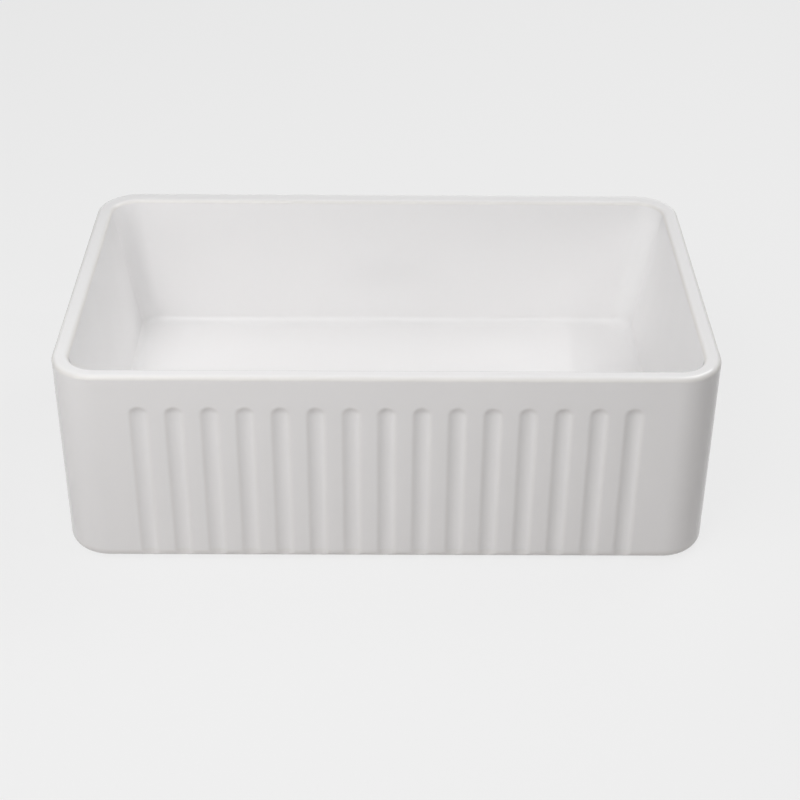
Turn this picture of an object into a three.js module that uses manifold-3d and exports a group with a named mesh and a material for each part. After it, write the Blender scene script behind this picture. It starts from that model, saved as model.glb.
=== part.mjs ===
// Farmhouse apron front sink: a fluted fireclay body with a basket waste in its floor.
// Millimetres, +Z up, +X to the right, and the apron looks along -Y.
// The origin is the middle of the footprint, on the surface that the sink stands on.

import * as THREE from "three";
import { mergeVertices } from "three/addons/utils/BufferGeometryUtils.js";
import Module from "manifold-3d";

const wasm = await Module();
wasm.setup();

// ---------------------------------------------------------------------------
// Driving dimensions
// ---------------------------------------------------------------------------

// Fireclay body, outside
const bodyWidth = 760;
const bodyDepth = 460;
const bodyHeight = 255;
const outerCornerRadius = 52; // upright corners, seen from above
const baseEdgeRadius = 12; // round between the walls and the foot
const rimOuterRadius = 6;

// Rim and bowl
const rimInnerRadius = 5;
const rimSide = 19; // width of the rim at the left and right
const rimFront = 18;
const rimBack = 23;
const bowlDepth = 179; // from the rim to the edge of the floor
const sideLean = 30; // how far each side wall leans in on its way down
const endLean = 11; // the same for the front and rear walls
const bowlTopCornerRadius = 33;
const bowlFloorCornerRadius = 22;
const floorFilletRadius = 12;
const floorFall = 2; // fall of the floor from its edge to the drain

// Underside
const floorThickness = 22;
const skirtWall = 26; // wall of the skirt that the sink stands on
const skirtEdgeRadius = 4;
const recessDraft = 2; // widening of the recess towards its mouth
const recessCornerRadius = 30;
const recessFilletRadius = 10;
const bossDiameter = 140; // flat pad round the drain hole, for the gasket
const bossHeight = 4;
const bossSlope = 3;

// Drain opening in the body
const drainHoleDiameter = 90;
const drainSeatDepth = 4; // rebate that lets the flange lie below the floor
const drainSeatClearance = 2.5; // between the flange and the wall of the rebate
const drainLipRadius = 2;

// Flutes in the apron
const fluteCount = 15;
const fluteWidth = 26;
const fluteDepth = 3.5;
const fluteShoulderRadius = 10;
const fluteMargin = 87.5; // plain apron at each end of the row
const fluteTopDrop = 38; // plain band from the rim down to the flutes

// Strainer cup
const flangeDiameter = 114;
const sheet = 1.2; // pressed stainless sheet
const throatClearance = 0.6; // between the throat and the drain hole
const throatDepth = 4; // from the flange down to the basket ledge
const threadDiameter = 84; // outside of the cup, where the lock nut runs
const cupDepth = 45; // from the basket ledge to the cup's floor
const cupFilletRadius = 5;
const outletDiameter = 47;
const outletWall = 2;
const outletLength = 17;
const crossBarWidth = 3.5;
const crossBarHeight = 3;
const crossBarHubDiameter = 10;
const crossBarDrop = 9; // from the cup's floor to the top of the bars

// Seals and nuts under the floor
const sealThickness = 1.5;
const sealWidth = 9;
const gasketThickness = 3;
const gasketDiameter = 112;
const frictionThickness = 1;
const frictionDiameter = 106;
const lockNutHeight = 12;
const lockNutDiameter = 100;
const lockNutLip = 1.5; // flat face plate of the nut, wider than its ring
const lugCount = 8;
const lugWidth = 12;
const lugReach = 6;
const couplingHeight = 17;
const couplingWall = 4.5;
const couplingLip = 2;
const couplingLugCount = 6;
const couplingLugWidth = 8;
const couplingLugReach = 3.5;
const outletWasherThickness = 2;
const tailPipeDiameter = 38; // trap pipe that the washer and the nut let through

// Basket
const basketSheet = 0.9;
const basketDepth = 27; // from the rim to the inside of the floor
const basketRimOverlap = 2; // how far the rim lies on the ledge
const basketWallClearance = 1.2;
const basketTaper = 3;
const basketFilletRadius = 4;
const wallSlotCount = 16;
const wallSlotWidth = 3;
const wallSlotHeight = 12;
const floorHoleDiameter = 4.5;
const floorHoleRings = [
  { radius: 14, count: 8 },
  { radius: 21, count: 12 },
  { radius: 28, count: 16 },
];
const floorHoleFacets = 6;

// Guide bush and O-ring
const bushDiameter = 12;
const bushFlangeDiameter = 18;
const bushFlangeThickness = 1.6;
const bushLength = 13;
const oRingSection = 1.6;
const oRingDrop = 4; // from the top of the bush to the groove

// Stem and stopper
const stemDiameter = 6;
const stemShoulderDiameter = 9;
const stopperTravel = 8;
const stopperDiameter = 60;
const stopperThickness = 4;
const stopperBevel = 2;
const stopperWasherDiameter = 28;
const stopperWasherThickness = 0.8;
const stemCollarDiameter = 11;
const stemCollarHeight = 1.5;
const clampWasherDiameter = 20;
const clampWasherThickness = 1;
const stemNutWidth = 10; // across the flats
const stemNutHeight = 4;
const stemEndLength = 1.5; // thread that stands out of the nut
const knobDiameter = 22;
const knobHeight = 14;
const knobNeckDiameter = 12;
const knobNeckHeight = 5;
const knobSocketDepth = 7;
const knobRise = 3; // from the drain's edge up to the knob's neck

// Clearances
const seatGap = 0.3; // between pieces that rest on each other
const slideGap = 0.25; // all round the sliding stem
const threadGap = 0.4; // between a nut and the tube that it runs on
const travelGap = 0.4; // left over at the end of the stopper's travel

// Facets
const cornerFacets = 8; // in each upright corner of the body
const roundFacets = 4; // in each edge round
const smallRoundFacets = 2; // in the rounds of a few millimetres
const fluteEndFacets = 16; // round the top of a flute
const oRingFacets = 6; // round the section of the O-ring
const knobRoundFacets = 6; // in the knob's edge
const turnedFacets = 36; // round the large turned pieces
const smallTurnedFacets = 20;

// ---------------------------------------------------------------------------
// Heights that follow from them
// ---------------------------------------------------------------------------

const floorEdgeZ = bodyHeight - bowlDepth;
const drainEdgeZ = floorEdgeZ - floorFall;
const recessRoofZ = floorEdgeZ - floorThickness;
const bossZ = recessRoofZ - bossHeight;
const drainSeatZ = drainEdgeZ - drainSeatDepth;

const flangeUnderZ = drainSeatZ + seatGap + sealThickness + seatGap;
const flangeTopZ = flangeUnderZ + sheet;
const ledgeZ = flangeTopZ - throatDepth;
const cupFloorZ = ledgeZ - cupDepth;
const outletEndZ = cupFloorZ - sheet - outletLength;
const crossBarTopZ = cupFloorZ - crossBarDrop;

const gasketTopZ = bossZ - seatGap;
const frictionTopZ = gasketTopZ - gasketThickness - seatGap;
const lockNutTopZ = frictionTopZ - frictionThickness - seatGap;
const outletWasherTopZ = outletEndZ - seatGap;
const couplingLipTopZ = outletWasherTopZ - outletWasherThickness - seatGap;

const basketRimZ = ledgeZ + seatGap; // underside of the basket's rim
const basketFloorZ = basketRimZ + basketSheet - basketDepth; // inside of its floor
const basketUnderZ = basketFloorZ - basketSheet;
const bushBottomZ = basketUnderZ - seatGap - bushFlangeThickness;
const bushTopZ = bushBottomZ + bushLength;

const stopperBottomZ = cupFloorZ + seatGap;
const stopperTopZ = stopperBottomZ + stopperThickness;
const stopperWasherZ = stopperTopZ + seatGap;
const stemCollarZ = stopperWasherZ + stopperWasherThickness + seatGap;
const stemShoulderZ = bushTopZ + seatGap;
const knobBottomZ = drainEdgeZ + knobRise;
const stemTopZ = knobBottomZ + knobSocketDepth;
const clampWasherTopZ = stopperBottomZ - seatGap;
const stemNutTopZ = clampWasherTopZ - clampWasherThickness - seatGap;
const stemBottomZ = stemNutTopZ - stemNutHeight - stemEndLength;
const spareTravel = bushBottomZ - stemCollarZ - stemCollarHeight - stopperTravel;

// ---------------------------------------------------------------------------
// Radii that follow from them
// ---------------------------------------------------------------------------

const drainHoleRadius = drainHoleDiameter / 2;
const drainSeatRadius = flangeDiameter / 2 + drainSeatClearance;
const throatOuterRadius = drainHoleRadius - throatClearance;
const throatInnerRadius = throatOuterRadius - sheet;
const threadRadius = threadDiameter / 2;
const cupInnerRadius = threadRadius - sheet;
const outletRadius = outletDiameter / 2;
const outletBoreRadius = outletRadius - outletWall;
const basketRimRadius = cupInnerRadius + basketRimOverlap;
const basketTopRadius = cupInnerRadius - basketWallClearance;
const basketFootRadius = basketTopRadius - basketTaper;
const stemRadius = stemDiameter / 2;
const stemHoleRadius = stemRadius + slideGap;
const oRingGrooveRadius = stemHoleRadius + oRingSection + slideGap;

// ---------------------------------------------------------------------------
// Helpers
// ---------------------------------------------------------------------------

// Closes a geometry's seams and turns it into a solid that can be cut and joined.
function solidOf(geometry) {
  const bare = geometry.clone();
  bare.deleteAttribute("normal");
  bare.deleteAttribute("uv");
  const merged = mergeVertices(bare, 1e-4);
  return new wasm.Manifold(
    new wasm.Mesh({
      numProp: 3,
      vertProperties: new Float32Array(merged.attributes.position.array),
      triVerts: new Uint32Array(merged.index.array),
    }),
  );
}

function geometryOf(solid) {
  const { numProp, numVert, vertProperties, triVerts } = solid.getMesh();
  const positions = new Float32Array(numVert * 3);
  for (let i = 0; i < numVert; i++) {
    positions.set(vertProperties.subarray(i * numProp, i * numProp + 3), i * 3);
  }
  const geometry = new THREE.BufferGeometry();
  geometry.setAttribute("position", new THREE.BufferAttribute(positions, 3));
  geometry.setIndex(new THREE.BufferAttribute(new Uint32Array(triVerts), 1));
  geometry.computeVertexNormals();
  return geometry;
}

function join(solids) {
  return solids.reduce((whole, piece) => whole.add(piece));
}

// Turns a profile round the Z axis. The profile's points are [radius, height], listed with the material on
// their left, and the last joins up with the first.
function turned(points, facets = turnedFacets) {
  const outline = [...points, points[0]].map(([radius, z]) => new THREE.Vector2(radius, z));
  return new THREE.LatheGeometry(outline, facets).rotateX(Math.PI / 2);
}

// A plain washer, bushing or disc with a hole.
function turnedRing(innerRadius, outerRadius, bottomZ, topZ, facets = turnedFacets) {
  return turned(
    [
      [innerRadius, bottomZ],
      [outerRadius, bottomZ],
      [outerRadius, topZ],
      [innerRadius, topZ],
    ],
    facets,
  );
}

// Points of an arc from one angle to another, in degrees, both ends included.
function arc(centreX, centreY, radius, fromDegrees, toDegrees, facets = roundFacets) {
  const from = THREE.MathUtils.degToRad(fromDegrees);
  const sweep = THREE.MathUtils.degToRad(toDegrees) - from;
  return Array.from({ length: facets + 1 }, (_, i) => {
    const angle = from + (sweep * i) / facets;
    return [centreX + radius * Math.cos(angle), centreY + radius * Math.sin(angle)];
  });
}

// Places copies of a geometry round the Z axis.
function aroundAxis(geometry, count) {
  return Array.from({ length: count }, (_, i) =>
    solidOf(geometry.clone().rotateZ((2 * Math.PI * i) / count)),
  );
}

function paint(color, roughness, metalness) {
  return new THREE.MeshStandardMaterial({ color, roughness, metalness });
}

function piece(name, geometry, material) {
  const mesh = new THREE.Mesh(geometry, material);
  mesh.name = name;
  return mesh;
}

// ---------------------------------------------------------------------------
// Materials
// ---------------------------------------------------------------------------

const glaze = paint(0xeeedec, 0.12, 0);
const stainless = paint(0xc4c6c8, 0.28, 1);
const zinc = paint(0xa9abad, 0.42, 1);
const blackRubber = paint(0x1c1c1d, 0.75, 0);
const fibre = paint(0x8a6f54, 0.9, 0);
const sealant = paint(0xd8d6d0, 0.6, 0);
const whitePlastic = paint(0xe9e8e3, 0.45, 0);
const brass = paint(0xb8975a, 0.35, 1);

// ---------------------------------------------------------------------------
// Fireclay body
// ---------------------------------------------------------------------------

const ringPoints = 4 * (cornerFacets + 1);

// One level of the body: a rectangle with round corners, given by how far it lies inside the body's sides.
function rectangleRing({ side, front, back, corner, z }) {
  const halfWidth = bodyWidth / 2 - side;
  const frontY = -bodyDepth / 2 + front;
  const backY = bodyDepth / 2 - back;
  const corners = [
    [halfWidth - corner, backY - corner, 0],
    [-halfWidth + corner, backY - corner, 90],
    [-halfWidth + corner, frontY + corner, 180],
    [halfWidth - corner, frontY + corner, 270],
  ];
  return corners.flatMap(([x, y, start]) =>
    arc(x, y, corner, start, start + 90, cornerFacets).map(([px, py]) => [px, py, z]),
  );
}

// The same number of points on a circle round the drain.
function circleRing(radius, z) {
  return Array.from({ length: ringPoints }, (_, i) => {
    const angle = (2 * Math.PI * (i + 0.5)) / ringPoints;
    return [radius * Math.cos(angle), radius * Math.sin(angle), z];
  });
}

// Outer skin at a given inset, with the corner that keeps the wall even.
function skinRing(inset, z) {
  return rectangleRing({ side: inset, front: inset, back: inset, corner: outerCornerRadius - inset, z });
}

// Bowl wall at a given height. Extra is how far a round takes it in or out of the leaning wall.
function bowlRing(z, extra) {
  const share = (bodyHeight - z) / bowlDepth;
  const corner = THREE.MathUtils.lerp(bowlTopCornerRadius, bowlFloorCornerRadius, share);
  return rectangleRing({
    side: rimSide + sideLean * share + extra,
    front: rimFront + endLean * share + extra,
    back: rimBack + endLean * share + extra,
    corner: corner - extra,
    z,
  });
}

// Underside recess at a given height, inside the skirt.
function recessRing(z, extra) {
  const inset = skirtWall + (recessDraft * z) / recessRoofZ + extra;
  return rectangleRing({ side: inset, front: inset, back: inset, corner: recessCornerRadius - extra, z });
}

// The body is one skin of rings: out under the foot, up the walls, over the rim, down the bowl, across the
// floor to the drain, through it, and back along the recess to the foot.
function bodyRings() {
  const baseRound = arc(baseEdgeRadius, baseEdgeRadius, baseEdgeRadius, 270, 180);
  const rimOuterRound = arc(rimOuterRadius, bodyHeight - rimOuterRadius, rimOuterRadius, 180, 90);
  const rimInnerRound = arc(-rimInnerRadius, bodyHeight - rimInnerRadius, rimInnerRadius, 90, 0);
  const floorRound = arc(floorFilletRadius, floorEdgeZ + floorFilletRadius, floorFilletRadius, 180, 270);
  const drainLip = arc(
    drainSeatRadius + drainLipRadius,
    drainEdgeZ - drainLipRadius,
    drainLipRadius,
    90,
    180,
    smallRoundFacets,
  );
  const recessRound = arc(
    recessFilletRadius,
    recessRoofZ - recessFilletRadius,
    recessFilletRadius,
    90,
    180,
  );
  const skirtRound = arc(-skirtEdgeRadius, skirtEdgeRadius, skirtEdgeRadius, 0, -90, smallRoundFacets);
  const bossRadius = bossDiameter / 2;
  return [
    ...baseRound.map(([inset, z]) => skinRing(inset, z)),
    ...rimOuterRound.map(([inset, z]) => skinRing(inset, z)),
    ...rimInnerRound.map(([extra, z]) => bowlRing(z, extra)),
    ...floorRound.map(([extra, z]) => bowlRing(z, extra)),
    ...drainLip.map(([radius, z]) => circleRing(radius, z)),
    circleRing(drainSeatRadius, drainSeatZ),
    circleRing(drainHoleRadius, drainSeatZ),
    circleRing(drainHoleRadius, bossZ),
    circleRing(bossRadius, bossZ),
    circleRing(bossRadius + bossSlope, recessRoofZ),
    ...recessRound.map(([extra, z]) => recessRing(z, extra)),
    ...skirtRound.map(([extra, z]) => recessRing(z, extra)),
  ];
}

// Joins each ring to the next, and the last to the first.
function ringSkin(rings) {
  const indices = [];
  rings.forEach((_, r) => {
    const low = r * ringPoints;
    const high = ((r + 1) % rings.length) * ringPoints;
    for (let i = 0; i < ringPoints; i++) {
      const next = (i + 1) % ringPoints;
      indices.push(low + i, low + next, high + next);
      indices.push(low + i, high + next, high + i);
    }
  });
  const geometry = new THREE.BufferGeometry();
  geometry.setAttribute("position", new THREE.Float32BufferAttribute(rings.flat(2), 3));
  geometry.setIndex(indices);
  return geometry;
}

// Half of a flute's section, from its deepest point to the apron's face: [distance from its middle, depth].
// A hollow arc and a rounded shoulder meet where their tangents agree.
function fluteHalfSection() {
  const half = fluteWidth / 2;
  const radii = (half * half + fluteDepth * fluteDepth) / (2 * fluteDepth);
  const hollowRadius = radii - fluteShoulderRadius;
  const meet = THREE.MathUtils.radToDeg(Math.atan2(half, radii - fluteDepth));
  const hollow = arc(0, fluteDepth - hollowRadius, hollowRadius, 90, 90 - meet);
  const shoulder = arc(half, fluteShoulderRadius, fluteShoulderRadius, 270 - meet, 270, smallRoundFacets);
  return [...hollow, ...shoulder.slice(1)];
}

// A flute is swept up from under the base edge and ends in the same section turned through a half circle.
function fluteCutter(x) {
  const half = fluteHalfSection();
  const proud = fluteDepth; // how far the cutter stands out of the face
  const faceY = -bodyDepth / 2;
  const rightSide = half.map(([across, depth]) => new THREE.Vector2(across, depth));
  const leftSide = half
    .slice(1)
    .reverse()
    .map(([across, depth]) => new THREE.Vector2(-across, depth));
  const section = new THREE.Shape([
    new THREE.Vector2(-fluteWidth / 2, -proud),
    new THREE.Vector2(fluteWidth / 2, -proud),
    ...rightSide.reverse(),
    ...leftSide.reverse(),
  ]);
  const topZ = bodyHeight - fluteTopDrop - fluteWidth / 2;
  const shaft = new THREE.ExtrudeGeometry(section, { depth: topZ + baseEdgeRadius, bevelEnabled: false });
  shaft.translate(x, faceY, -baseEdgeRadius);
  const end = new THREE.LatheGeometry(
    [
      new THREE.Vector2(0, -proud),
      new THREE.Vector2(fluteWidth / 2, -proud),
      ...half.map(([across, depth]) => new THREE.Vector2(across, depth)).reverse(),
    ],
    fluteEndFacets,
  );
  end.translate(x, faceY, topZ);
  return solidOf(shaft).add(solidOf(end));
}

function sinkBody() {
  const rowLength = bodyWidth - 2 * fluteMargin - fluteWidth;
  const pitch = rowLength / (fluteCount - 1);
  const cutters = Array.from({ length: fluteCount }, (_, i) => fluteCutter(pitch * i - rowLength / 2));
  return geometryOf(solidOf(ringSkin(bodyRings())).subtract(join(cutters)));
}

// ---------------------------------------------------------------------------
// Strainer, its seals and its nuts
// ---------------------------------------------------------------------------

function flangeSeal() {
  const outer = flangeDiameter / 2 - seatGap;
  return turnedRing(outer - sealWidth, outer, drainSeatZ + seatGap, drainSeatZ + seatGap + sealThickness);
}

// Pressed cup: flange, throat, basket ledge, threaded wall, floor and outlet tube.
function strainerCup() {
  const cupCentre = cupInnerRadius - cupFilletRadius;
  const inside = [
    [outletBoreRadius, outletEndZ],
    [outletBoreRadius, cupFloorZ],
    ...arc(cupCentre, cupFloorZ + cupFilletRadius, cupFilletRadius, 270, 360),
    [cupInnerRadius, ledgeZ],
    [throatInnerRadius, ledgeZ],
    ...arc(throatInnerRadius + sheet, flangeTopZ - sheet, sheet, 180, 90, smallRoundFacets),
    [flangeDiameter / 2 - sheet, flangeTopZ],
  ];
  const outside = [
    [flangeDiameter / 2, flangeUnderZ],
    [throatOuterRadius, flangeUnderZ],
    [throatOuterRadius, ledgeZ - sheet],
    [threadRadius, ledgeZ - sheet],
    ...arc(cupCentre, cupFloorZ + cupFilletRadius, cupFilletRadius + sheet, 360, 270),
    [outletRadius, cupFloorZ - sheet],
    [outletRadius, outletEndZ],
  ];
  const shell = solidOf(turned([...inside, ...outside].reverse()));
  const barLength = 2 * outletBoreRadius + outletWall;
  const bar = new THREE.BoxGeometry(barLength, crossBarWidth, crossBarHeight);
  bar.translate(0, 0, crossBarTopZ - crossBarHeight / 2);
  const hub = new THREE.CylinderGeometry(
    crossBarHubDiameter / 2,
    crossBarHubDiameter / 2,
    crossBarHeight,
    smallTurnedFacets,
  );
  hub.rotateX(Math.PI / 2).translate(0, 0, crossBarTopZ - crossBarHeight / 2);
  return geometryOf(join([shell, solidOf(hub), solidOf(bar), solidOf(bar.clone().rotateZ(Math.PI / 2))]));
}

function underGasket() {
  return turnedRing(threadRadius + threadGap, gasketDiameter / 2, gasketTopZ - gasketThickness, gasketTopZ);
}

function frictionRing() {
  const bottomZ = frictionTopZ - frictionThickness;
  return turnedRing(threadRadius + threadGap, frictionDiameter / 2, bottomZ, frictionTopZ);
}

// Lugs round a nut, for the wrench or the heel of the hand.
function lugs(count, width, ringRadius, reach, bottomZ, topZ, bite) {
  const lug = new THREE.BoxGeometry(reach + bite, width, topZ - bottomZ);
  lug.translate(ringRadius + (reach - bite) / 2, 0, (topZ + bottomZ) / 2);
  return aroundAxis(lug, count);
}

function lockNut() {
  const inner = threadRadius + threadGap;
  const wall = (lockNutDiameter / 2 - inner) / 2;
  const ringRadius = lockNutDiameter / 2 - wall / 2;
  const bottomZ = lockNutTopZ - lockNutHeight;
  const ring = turned([
    [inner, bottomZ],
    [ringRadius, bottomZ],
    [ringRadius, lockNutTopZ - lockNutLip],
    [lockNutDiameter / 2 + lugReach / 2, lockNutTopZ - lockNutLip],
    [lockNutDiameter / 2 + lugReach / 2, lockNutTopZ],
    [inner, lockNutTopZ],
  ]);
  const top = lockNutTopZ - lockNutLip / 2;
  const teeth = lugs(lugCount, lugWidth, ringRadius, lugReach, bottomZ + lockNutLip, top, wall / 2);
  return geometryOf(join([solidOf(ring), ...teeth]));
}

function outletWasher() {
  const bottomZ = outletWasherTopZ - outletWasherThickness;
  const inner = tailPipeDiameter / 2 + threadGap;
  return turnedRing(inner, outletRadius - threadGap, bottomZ, outletWasherTopZ);
}

function couplingNut() {
  const bore = outletRadius + threadGap;
  const outer = bore + couplingWall;
  const bottomZ = couplingLipTopZ - couplingLip;
  const topZ = bottomZ + couplingHeight;
  const ring = turned([
    [tailPipeDiameter / 2 + 2 * threadGap, bottomZ],
    [outer, bottomZ],
    [outer, topZ],
    [bore, topZ],
    [bore, couplingLipTopZ],
    [tailPipeDiameter / 2 + 2 * threadGap, couplingLipTopZ],
  ]);
  const bite = couplingWall / 2;
  const teeth = lugs(
    couplingLugCount,
    couplingLugWidth,
    outer,
    couplingLugReach,
    bottomZ + couplingLip,
    topZ - couplingLip,
    bite,
  );
  return geometryOf(join([solidOf(ring), ...teeth]));
}

// ---------------------------------------------------------------------------
// Basket
// ---------------------------------------------------------------------------

function basketCup() {
  const hole = bushDiameter / 2 + seatGap;
  const footCentre = basketFootRadius - basketFilletRadius;
  const filletZ = basketFloorZ + basketFilletRadius;
  const rimTopZ = basketRimZ + basketSheet;
  const inside = [
    [hole, basketFloorZ],
    ...arc(footCentre, filletZ, basketFilletRadius, 270, 360),
    [basketTopRadius, rimTopZ],
  ];
  const outside = [
    [basketRimRadius, rimTopZ],
    [basketRimRadius, basketRimZ],
    [basketTopRadius + basketSheet, basketRimZ],
    ...arc(footCentre, filletZ, basketFilletRadius + basketSheet, 360, 270),
    [hole, basketUnderZ],
  ];
  const shell = solidOf(turned([...inside, ...outside].reverse()));

  const punchLength = 4 * basketSheet; // the sheet and some air on both sides of it
  const punchRadius = floorHoleDiameter / 2;
  const punch = new THREE.CylinderGeometry(punchRadius, punchRadius, punchLength, floorHoleFacets);
  punch.rotateX(Math.PI / 2);
  const floorHoles = floorHoleRings.flatMap(({ radius, count }) =>
    aroundAxis(punch.clone().translate(radius, 0, basketFloorZ - basketSheet / 2), count),
  );

  const slotMiddleZ = (filletZ + basketRimZ) / 2;
  const slot = new THREE.BoxGeometry(4 * (basketTaper + basketSheet), wallSlotWidth, wallSlotHeight);
  slot.translate((basketTopRadius + basketFootRadius) / 2, 0, slotMiddleZ);
  return geometryOf(shell.subtract(join([...floorHoles, ...aroundAxis(slot, wallSlotCount)])));
}

// One bush, flanged above and below the basket's floor, with a groove for the O-ring in its bore.
function guideBush() {
  const waist = bushDiameter / 2;
  const flange = bushFlangeDiameter / 2;
  const grooveTop = bushTopZ - oRingDrop;
  const grooveBottom = grooveTop - oRingSection - 2 * slideGap;
  return turned(
    [
      [stemHoleRadius, bushBottomZ],
      [flange, bushBottomZ],
      [flange, basketUnderZ - seatGap],
      [waist, basketUnderZ - seatGap],
      [waist, basketFloorZ + seatGap],
      [flange, basketFloorZ + seatGap],
      [flange, basketFloorZ + seatGap + bushFlangeThickness],
      [waist, basketFloorZ + seatGap + bushFlangeThickness],
      [waist, bushTopZ],
      [stemHoleRadius, bushTopZ],
      [stemHoleRadius, grooveTop],
      [oRingGrooveRadius, grooveTop],
      [oRingGrooveRadius, grooveBottom],
      [stemHoleRadius, grooveBottom],
    ],
    smallTurnedFacets,
  );
}

function stemORing() {
  const middleZ = bushTopZ - oRingDrop - oRingSection / 2 - slideGap;
  const middleRadius = stemHoleRadius + oRingSection / 2;
  const section = arc(middleRadius, middleZ, oRingSection / 2, 0, 360, oRingFacets).slice(1);
  return turned(section, smallTurnedFacets);
}

// ---------------------------------------------------------------------------
// Stopper
// ---------------------------------------------------------------------------

function stem() {
  const shoulder = stemShoulderDiameter / 2;
  const collar = stemCollarDiameter / 2;
  return turned(
    [
      [0, stemBottomZ],
      [stemRadius, stemBottomZ],
      [stemRadius, stemCollarZ],
      [collar, stemCollarZ],
      [collar, stemCollarZ + stemCollarHeight],
      [stemRadius, stemCollarZ + stemCollarHeight],
      [stemRadius, stemShoulderZ],
      [shoulder, stemShoulderZ],
      [shoulder, knobBottomZ - seatGap],
      [stemRadius, knobBottomZ - seatGap],
      [stemRadius, stemTopZ],
      [0, stemTopZ],
    ],
    smallTurnedFacets,
  );
}

// Mushroom knob with a blind socket for the stem.
function pullKnob() {
  const socket = stemHoleRadius;
  const neck = knobNeckDiameter / 2;
  const head = knobDiameter / 2;
  const topZ = knobBottomZ + knobHeight;
  const headZ = knobBottomZ + knobNeckHeight;
  const crown = (topZ - headZ) / 2;
  const dome = crown / 8; // slight rise in the middle of the knob
  return turned(
    [
      [socket, knobBottomZ],
      [neck, knobBottomZ],
      [neck, headZ - crown / 2],
      ...arc(head - crown, topZ - crown, crown, -60, 90, knobRoundFacets),
      [0, topZ + dome],
      [0, stemTopZ + seatGap],
      [socket, stemTopZ + seatGap],
    ],
    smallTurnedFacets,
  );
}

function stopperWasher() {
  const topZ = stopperWasherZ + stopperWasherThickness;
  return turnedRing(stemHoleRadius, stopperWasherDiameter / 2, stopperWasherZ, topZ, smallTurnedFacets);
}

// Rubber disc with a bevelled edge that seals on the cup's floor.
function stopperDisc() {
  const edge = stopperDiameter / 2;
  return turned([
    [stemHoleRadius, stopperBottomZ],
    [edge, stopperBottomZ],
    [edge, stopperTopZ - stopperBevel],
    [edge - stopperBevel, stopperTopZ],
    [stemHoleRadius, stopperTopZ],
  ]);
}

function clampWasher() {
  const bottomZ = clampWasherTopZ - clampWasherThickness;
  return turnedRing(stemHoleRadius, clampWasherDiameter / 2, bottomZ, clampWasherTopZ, smallTurnedFacets);
}

function stemNut() {
  const corner = stemNutWidth / Math.sqrt(3);
  const hexagon = new THREE.Shape(arc(0, 0, corner, 0, 300, 5).map(([x, y]) => new THREE.Vector2(x, y)));
  const hole = arc(0, 0, stemHoleRadius, 360, 0, smallTurnedFacets).map(([x, y]) => new THREE.Vector2(x, y));
  hexagon.holes.push(new THREE.Path(hole.slice(1)));
  const nut = new THREE.ExtrudeGeometry(hexagon, { depth: stemNutHeight, bevelEnabled: false });
  return nut.translate(0, 0, stemNutTopZ - stemNutHeight);
}

// ---------------------------------------------------------------------------
// Assembly
// ---------------------------------------------------------------------------

if (spareTravel < travelGap) {
  console.warn(`the stopper's travel leaves only ${spareTravel.toFixed(2)} mm under the bush`);
}

const fixed = new THREE.Group();
fixed.add(
  piece("sink_body", sinkBody(), glaze),
  piece("flange_seal", flangeSeal(), sealant),
  piece("strainer_cup", strainerCup(), stainless),
  piece("under_gasket", underGasket(), blackRubber),
  piece("friction_ring", frictionRing(), fibre),
  piece("lock_nut", lockNut(), zinc),
  piece("outlet_washer", outletWasher(), whitePlastic),
  piece("coupling_nut", couplingNut(), zinc),
);

const stopper = new THREE.Group();
stopper.add(
  piece("stem", stem(), stainless),
  piece("pull_knob", pullKnob(), stainless),
  piece("stopper_washer", stopperWasher(), stainless),
  piece("stopper_disc", stopperDisc(), blackRubber),
  piece("clamp_washer", clampWasher(), stainless),
  piece("stem_nut", stemNut(), stainless),
);

const basket = new THREE.Group();
basket.add(
  piece("basket_cup", basketCup(), stainless),
  piece("guide_bush", guideBush(), brass),
  piece("stem_o_ring", stemORing(), blackRubber),
  stopper,
);

const sink = new THREE.Group();
sink.name = "apron_front_sink";
sink.add(fixed, basket);

export default sink;
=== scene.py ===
# %% [markdown]
# # A fluted farmhouse sink in glazed fireclay
#
# This script dresses a kitchen sink with one bowl. The body is a single heavy casting in white
# glazed fireclay, and a basket strainer of pressed steel is clamped through its floor. A frame made
# elsewhere already holds every part at its true size and knows how the parts move, so the work here
# is finer meshes and honest finishes. We load the frame first, because every size below is read
# from it or fits inside it.

# %% Load the frame
import math

import bmesh
import bpy
from mathutils import Matrix, Vector


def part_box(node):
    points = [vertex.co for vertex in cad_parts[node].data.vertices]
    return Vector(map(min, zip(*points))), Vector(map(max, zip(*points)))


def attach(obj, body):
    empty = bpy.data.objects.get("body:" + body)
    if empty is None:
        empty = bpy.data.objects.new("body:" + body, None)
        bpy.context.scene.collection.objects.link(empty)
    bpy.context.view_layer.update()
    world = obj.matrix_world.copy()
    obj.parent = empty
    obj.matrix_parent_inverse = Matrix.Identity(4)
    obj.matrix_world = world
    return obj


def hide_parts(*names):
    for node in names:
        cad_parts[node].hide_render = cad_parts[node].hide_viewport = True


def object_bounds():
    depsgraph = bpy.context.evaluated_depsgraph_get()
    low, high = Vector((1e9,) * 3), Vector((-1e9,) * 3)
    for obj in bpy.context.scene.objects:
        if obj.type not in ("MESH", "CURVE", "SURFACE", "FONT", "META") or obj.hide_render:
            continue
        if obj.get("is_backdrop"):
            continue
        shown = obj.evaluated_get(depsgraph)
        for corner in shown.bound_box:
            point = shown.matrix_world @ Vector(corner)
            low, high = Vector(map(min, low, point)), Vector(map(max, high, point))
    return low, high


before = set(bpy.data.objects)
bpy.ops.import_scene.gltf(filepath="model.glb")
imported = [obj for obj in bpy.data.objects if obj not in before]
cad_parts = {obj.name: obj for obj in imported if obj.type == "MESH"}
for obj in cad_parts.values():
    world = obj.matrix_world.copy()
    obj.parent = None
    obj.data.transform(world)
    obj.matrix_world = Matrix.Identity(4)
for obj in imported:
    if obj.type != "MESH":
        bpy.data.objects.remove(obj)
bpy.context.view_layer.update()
MM = 0.001

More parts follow.
